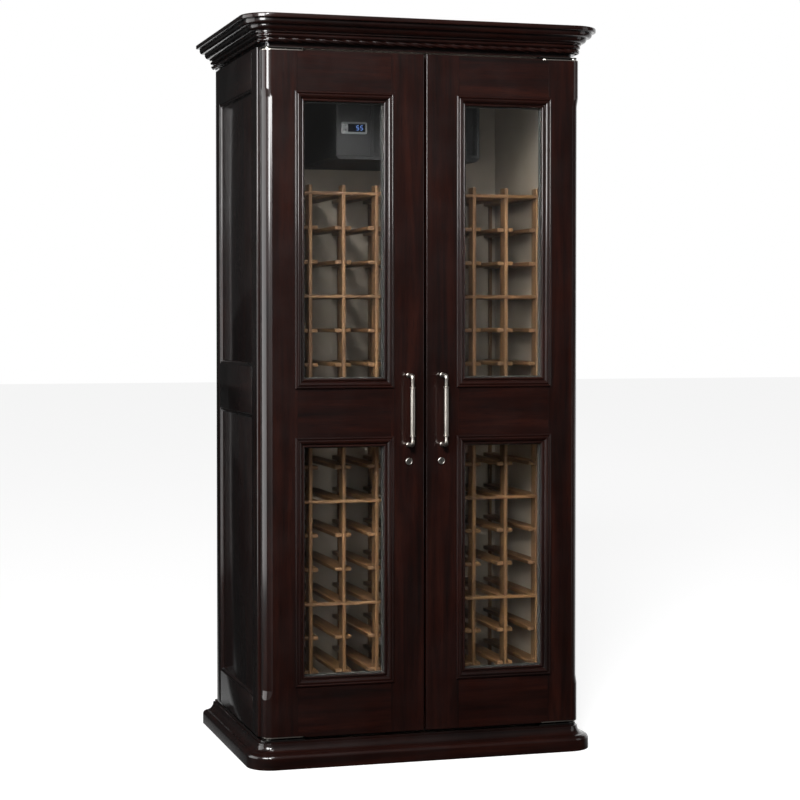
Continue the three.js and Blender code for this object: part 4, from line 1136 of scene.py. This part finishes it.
def makeControl(spec):
    left, face, keyX = -spec["half"], spec["front"], spec["keyX"]
    coverFront = face - spec["cover"]
    bezelFace = coverFront - spec["bezelThick"]
    low, high = spec["bezelBottom"], spec["bezelBottom"] + spec["bezelHeight"]
    x0, z0 = spec["screenLeft"], spec["screenBottom"]
    x1, z1 = x0 + spec["screenWidth"], z0 + spec["screenHeight"]
    holes = shapeOf(board(x0, x1, bezelFace - 2, bezelFace + 1.4, z0, z1, 0))
    wells = newShape()
    wide, tall = spec["keyHole"]
    for z in spec["keyHeights"]:
        for shape, front, back in ((holes, bezelFace - 2, coverFront + 3), (wells, coverFront - 2, face + 2)):
            addPart(shape, board(keyX - wide, keyX + wide, front, back, z - tall, z + tall, 0))
    bezelStart = left + spec["bezelLeft"]
    outline = (bezelStart, bezelStart + spec["bezelWidth"], low, high)
    blank = shapeOf(roundedBox(*outline, 4.5, bezelFace, coverFront + 0.2, 1.2))
    bezel = carved(meshFrom("bezelBlank", blank, [finishes["bezel"]]), holes, finishes["bezel"])
    addPiece("controllerBezel", bezel)
    edges = (left, left + spec["controlWidth"], coverFront, face, spec["bottom"], spec["top"])
    shape = shapeOf(board(*edges, 0.9, 3))
    window = (x0 + 0.2, x1 - 0.2, z0 + 0.2, z1 - 0.2)
    addPart(shape, roundedBox(*window, 1.2, bezelFace + 0.5, bezelFace + 1.5, 0.2), 1)
    for x in spec["digitPlaces"]:
        for part in digitParts(x, z0 + 5, *spec["digit"], bezelFace + 0.24):
            addPart(shape, part, 2)
    ventLow, ventHigh = (low - drop for drop in spec["ventDrops"])
    for i in range(spec["vents"]):
        x = bezelStart + spec["ventStart"] + i * spec["ventPitch"]
        edges = (x, x + spec["ventWidth"], coverFront - 0.12, coverFront + 0.5, ventLow, ventHigh)
        addPart(shape, board(*edges, 0.1, 1), 3)
    mats = [finishes["charcoal"], finishes["screen"], finishes["glow"], finishes["rubber"]]
    panel = carved(meshFrom("controlPanel", shape, mats), wells, finishes["charcoal"])
    addPiece("controlPanel", panel, ["control_panel"])


# Keys of the controller, each with a printed arrow
def makeKeys():
    for key, up in (("up", 1), ("down", -1)):
        low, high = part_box("key_" + key)
        x0, x1, z0, z1 = (1000 * value for value in (low.x, high.x, low.z, high.z))
        front, back = 1000 * (low.y - faceY), 1000 * (high.y - faceY)
        cap = shapeOf(roundedBox(x0, x1, z0, z1, 1.6, front, back, 0.5))
        x, z = (x0 + x1) / 2, (z0 + z1) / 2
        arrow = [(x - 2.2, z - up * 1.3), (x + 2.2, z - up * 1.3), (x, z + up * 1.7)]
        addPart(cap, extruded(arrow, (front - 0.05, front + 0.1), "y"), 1)
        mats, old = [finishes["bezel"], finishes["mark"]], "key_" + key
        addShape("pressKey" + key.title(), cap, mats, [old], old)


def makeGrille(spec):
    left, right = -spec["half"] + spec["controlWidth"] + 0.3, spec["half"]
    bottom, top, back, rim = spec["bottom"], spec["top"], spec["front"], spec["rim"]
    front = back - spec["cover"]
    profile = [(0, front + 0.8), (0.8, front), (rim - 0.8, front), (rim, front + 0.8), (rim, back), (0, back)]
    bars = shapeOf(*frameParts(profile, left, right, bottom, top))
    addShape("grilleFrame", bars, [finishes["charcoal"]], ["evaporator_grille"])
    width, height = right - left - 2 * rim, top - bottom - 2 * rim
    columns, rows = round(width / spec["meshPitchX"]), round(height / spec["meshPitchZ"])
    halfX, halfZ, thick = width / columns / 2, height / rows / 2, spec["strand"] / 2
    cell = newShape()
    for sign in (1, -1):
        low, high = -sign * halfZ, sign * halfZ
        outline = [(-halfX, low - thick), (halfX, high - thick), (halfX, high + thick), (-halfX, low + thick)]
        depth = front + 0.9 + 0.15 * sign
        addPart(cell, extruded(outline, (depth, depth + 0.8), "y"))
    grid = {"columns": columns, "columnPitch": halfX * 2, "firstColumn": left + rim + halfX}
    grid.update({"rows": rows, "rowPitch": halfZ * 2, "topRow": top - rim - halfZ})
    addPiece("grilleMesh", growGrid("grilleMesh", cell, grid, finishes["charcoal"]))


makeControl(coolerSpec)
makeKeys()
makeGrille(coolerSpec)
print("cooling unit made")


# Back: a screwed plywood board with louvres, behind the liner
backSpec = {
    "half": 407.4,
    "front": 535.4,
    "liner": 3,
    "back": 590.3,
    "bottom": 115.3,
    "top": 1736.7,
    "louvres": 9,
    "louvreTop": 1700,
    "louvrePitch": 18,
    "louvreHigh": 8,
    "louvreHalf": 120,
    "screwColumns": ((-404, 9), (0, 7), (404, 9)),
    "screwBottom": 135,
    "screwPitch": 198,
}


def makeBack(spec):
    half, front, back, bottom, top = (spec[key] for key in ("half", "front", "back", "bottom", "top"))
    seam, wide, high = front + spec["liner"], spec["louvreHalf"], spec["louvreHigh"]
    blank = shapeOf(board(-half, half, seam + 0.1, back - 1.4, bottom, top, 0.8))
    slots, louvres = newShape(), newShape()
    for i in range(spec["louvres"]):
        z = spec["louvreTop"] - i * spec["louvrePitch"]
        addPart(slots, board(-wide, wide, back - 14, back + 5, z - high, z, 0))
        section = [(back - 3.4, z - high), (back - 1.5, z + 1), (back - 0.9, z + 1)]
        section += [(back - 0.2, z - high - 0.4), (back - 0.8, z - high - 0.8)]
        addPart(louvres, extruded(section, (2 - wide, wide - 2), "x"))
    # the louvre slots' cut faces take the black seal PVC, darker than the plywood: painted shade in the recesses
    ply = carved(meshFrom("backBoard", blank, [finishes["backPly"]]), slots, finishes["rubber"])
    addPiece("backBoard", ply)
    addShape("rearLouvres", louvres, [finishes["charcoal"]], ())
    liner = shapeOf(board(-half, half, front, seam, bottom, top, 0.2, 1))
    addShape("backLiner", liner, [finishes["liner"]], ["back_panel"])
    profile = [(0, -1.9), (2, -1.9), (2.2, -1.2), (3.8, -0.9), (4, -1.5), (0, -1.5)]
    heads = newShape()
    for x, count in spec["screwColumns"]:
        for i in range(count):
            addPart(heads, turned(profile, 16, "y", (x, back, spec["screwBottom"] + i * spec["screwPitch"])))
    addShape("backScrews", heads, [finishes["screw"]], ())


# Dust cover inside the crown
coverSpec = {"front": 27, "bottom": 1866.3, "top": 1868.5, "screwRows": (50, 230, 410, 590), "screwInset": 22}


def makeDustCover(spec, cornice):
    half = cornice["half"] - cornice["skin"] - 0.4
    shape = shapeOf(board(-half, half, spec["front"], cornice["back"] - 0.6, spec["bottom"], spec["top"], 0.6))
    reach = half - spec["screwInset"]
    for x in (-reach, 0, reach):
        for y in spec["screwRows"]:
            addPart(shape, screwHead(x, y, spec["top"] + 0.05, 1, 4), 1)
    addShape("dustCover", shape, [finishes["backPly"], finishes["screw"]])


makeBack(backSpec)
makeDustCover(coverSpec, corniceSpec)
print("back and top made")


# Finishes of the solids whose shape is already right
solidFinishes = {
    "floor_panel": finishes["liner"],
    "ceiling_panel": finishes["liner"],
    "insulated_wall_left": finishes["liner"],
    "insulated_wall_right": finishes["liner"],
    "centre_mullion": woods["z"],
    "cooling_housing": finishes["charcoal"],
}
for name, material in solidFinishes.items():
    for holder in cadNodes[name].material_slots:
        holder.material = material
print("solids finished")


# Floor, backdrop and studio light; three lamps light nothing themselves and only show in the polish
studioSpec = {
    "floorSize": 30,
    "floorColour": "#959595",
    "floorPaintedReflection": "#242424",
    "floorGlow": 0.88,
    "ambient": 0.08,
    "studioDark": 0.02,
    "frontRise": 0.04,
    "away": (0.669, 0.743, 0),
    "mirrored": (0.2924, -0.9563, 0),
}


# Grey paper that holds the shadow and glows white to the eye; metal and glass see it white behind the cabinet and
# dark grey elsewhere, a painted dark reflection
def makeFloor(spec):
    mesh = bpy.data.meshes.new("studioFloor")
    size = spec["floorSize"]
    mesh.from_pydata([(-size, -size, 0), (size, -size, 0), (size, size, 0), (-size, size, 0)], [], [(0, 1, 2, 3)])
    floor = bpy.data.objects.new("studioFloor", mesh)
    scene.collection.objects.link(floor)
    material, tree = newMaterial("paperFloor")
    rays = addNode(tree, "ShaderNodeLightPath").outputs
    spot = addNode(tree, "ShaderNodeTexCoord").outputs["Object"]
    axes = addNode(tree, "ShaderNodeSeparateXYZ", {0: spot}).outputs
    nearX = addNode(tree, "ShaderNodeMapRange", {0: axes[0], 1: -0.5, 2: -0.3})
    nearY = addNode(tree, "ShaderNodeMapRange", {0: axes[1], 1: -0.3, 2: 0})
    near = addNode(tree, "ShaderNodeMath", {0: nearX, 1: nearY}, operation="MULTIPLY")
    inputs = {0: rays["Is Glossy Ray"], 1: rays["Is Transmission Ray"]}
    mirrored = addNode(tree, "ShaderNodeMath", inputs, operation="MAXIMUM")
    behind = addNode(tree, "ShaderNodeMath", {0: mirrored, 1: near}, operation="MULTIPLY")
    shown = addNode(tree, "ShaderNodeMath", {0: rays["Is Camera Ray"], 1: behind}, operation="MAXIMUM")
    strength = addNode(tree, "ShaderNodeMath", {0: shown, 1: spec["floorGlow"]}, operation="MULTIPLY")
    # glossy rays see the paper dark grey: a painted dark reflection
    inputs = {0: rays["Is Glossy Ray"], 6: hexColour(spec["floorColour"]), 7: hexColour(spec["floorPaintedReflection"])}
    colour = addNode(tree, "ShaderNodeMix", inputs, data_type="RGBA").outputs[2]
    paper = addNode(tree, "ShaderNodeBsdfDiffuse", {"Color": colour, "Roughness": 0.9})
    glow = addNode(tree, "ShaderNodeEmission", {"Color": hexColour("#ffffff"), "Strength": strength})
    addNode(tree, "ShaderNodeOutputMaterial", {0: addNode(tree, "ShaderNodeAddShader", {0: paper, 1: glow})})
    mesh.materials.append(material)


# A rectangular lamp; one that lights nothing is only seen in reflections
def makeLamp(name, place, target, size, brightness, lights=True):
    data = bpy.data.lights.new(name, "AREA")
    data.shape = "RECTANGLE"
    data.size, data.size_y = size
    data.energy = brightness * math.pi * size[0] * size[1]
    lamp = bpy.data.objects.new(name, data)
    lamp.location = place
    lamp.rotation_euler = (Vector(target) - Vector(place)).to_track_quat("-Z", "Y").to_euler()
    lamp.visible_diffuse = lights
    scene.collection.objects.link(lamp)


# White where the eye looks past the cabinet; reflections find a dark room that pales in front of the upper doors
def makeWorld(spec):
    world = bpy.data.worlds.new("studio")
    scene.world = world
    world.use_nodes = True
    tree = world.node_tree
    tree.nodes.clear()
    rays = addNode(tree, "ShaderNodeLightPath").outputs
    way = addNode(tree, "ShaderNodeTexCoord").outputs["Generated"]
    up = addNode(tree, "ShaderNodeSeparateXYZ", {0: way}).outputs[2]
    toward = addNode(tree, "ShaderNodeVectorMath", {0: way, 1: spec["mirrored"]}, operation="DOT_PRODUCT")
    facing = addNode(tree, "ShaderNodeMapRange", {0: toward.outputs["Value"], 1: 0.75, 2: 0.93})
    height = addNode(tree, "ShaderNodeMapRange", {0: up, 1: -0.02, 2: 0.14, 4: spec["frontRise"]})
    rise = addNode(tree, "ShaderNodeMath", {0: facing, 1: height}, operation="MULTIPLY")
    toward = addNode(tree, "ShaderNodeVectorMath", {0: way, 1: spec["away"]}, operation="DOT_PRODUCT")
    inputs = {0: toward.outputs["Value"], 1: 0.8, 2: 0.87, 3: spec["studioDark"]}
    behind = addNode(tree, "ShaderNodeMapRange", inputs)
    room = addNode(tree, "ShaderNodeMath", {0: rise, 1: behind}, operation="ADD")
    inputs = {0: rays["Is Diffuse Ray"], 6: room, 7: (spec["ambient"],) * 3 + (1,)}
    strength = addNode(tree, "ShaderNodeMix", inputs, data_type="RGBA").outputs[2]
    inputs = {0: rays["Is Camera Ray"], 6: strength, 7: (1, 1, 1, 1)}
    strength = addNode(tree, "ShaderNodeMix", inputs, data_type="RGBA").outputs[2]
    light = addNode(tree, "ShaderNodeBackground", {"Color": strength, "Strength": 1.0})
    addNode(tree, "ShaderNodeOutputWorld", {0: light})


makeFloor(studioSpec)
makeWorld(studioSpec)
makeLamp("frontLamp", (-2.0, -5.0, 3.5), (0, 0, 0.9), (0.9, 0.9), 88)
makeLamp("topLamp", (-0.6, -2.6, 3.9), (0, -0.3, 1.2), (1.2, 1.2), 9)
makeLamp("edgeLamp", (-2.85, -3.1, 2.6), (-0.42, -0.3, 2.6), (1.55, 2.1), 26, lights=False)
makeLamp("sideLamp", (-3.8, 0.65, 1.3), (-0.42, -0.3, 1.3), (3.5, 3.0), 3, lights=False)
makeLamp("rightLamp", (3.4, -2.2, 1.4), (0, -0.3, 1.0), (1.6, 2.6), 1.1, lights=False)
print("studio lit")

scene.view_settings.view_transform = "Standard"
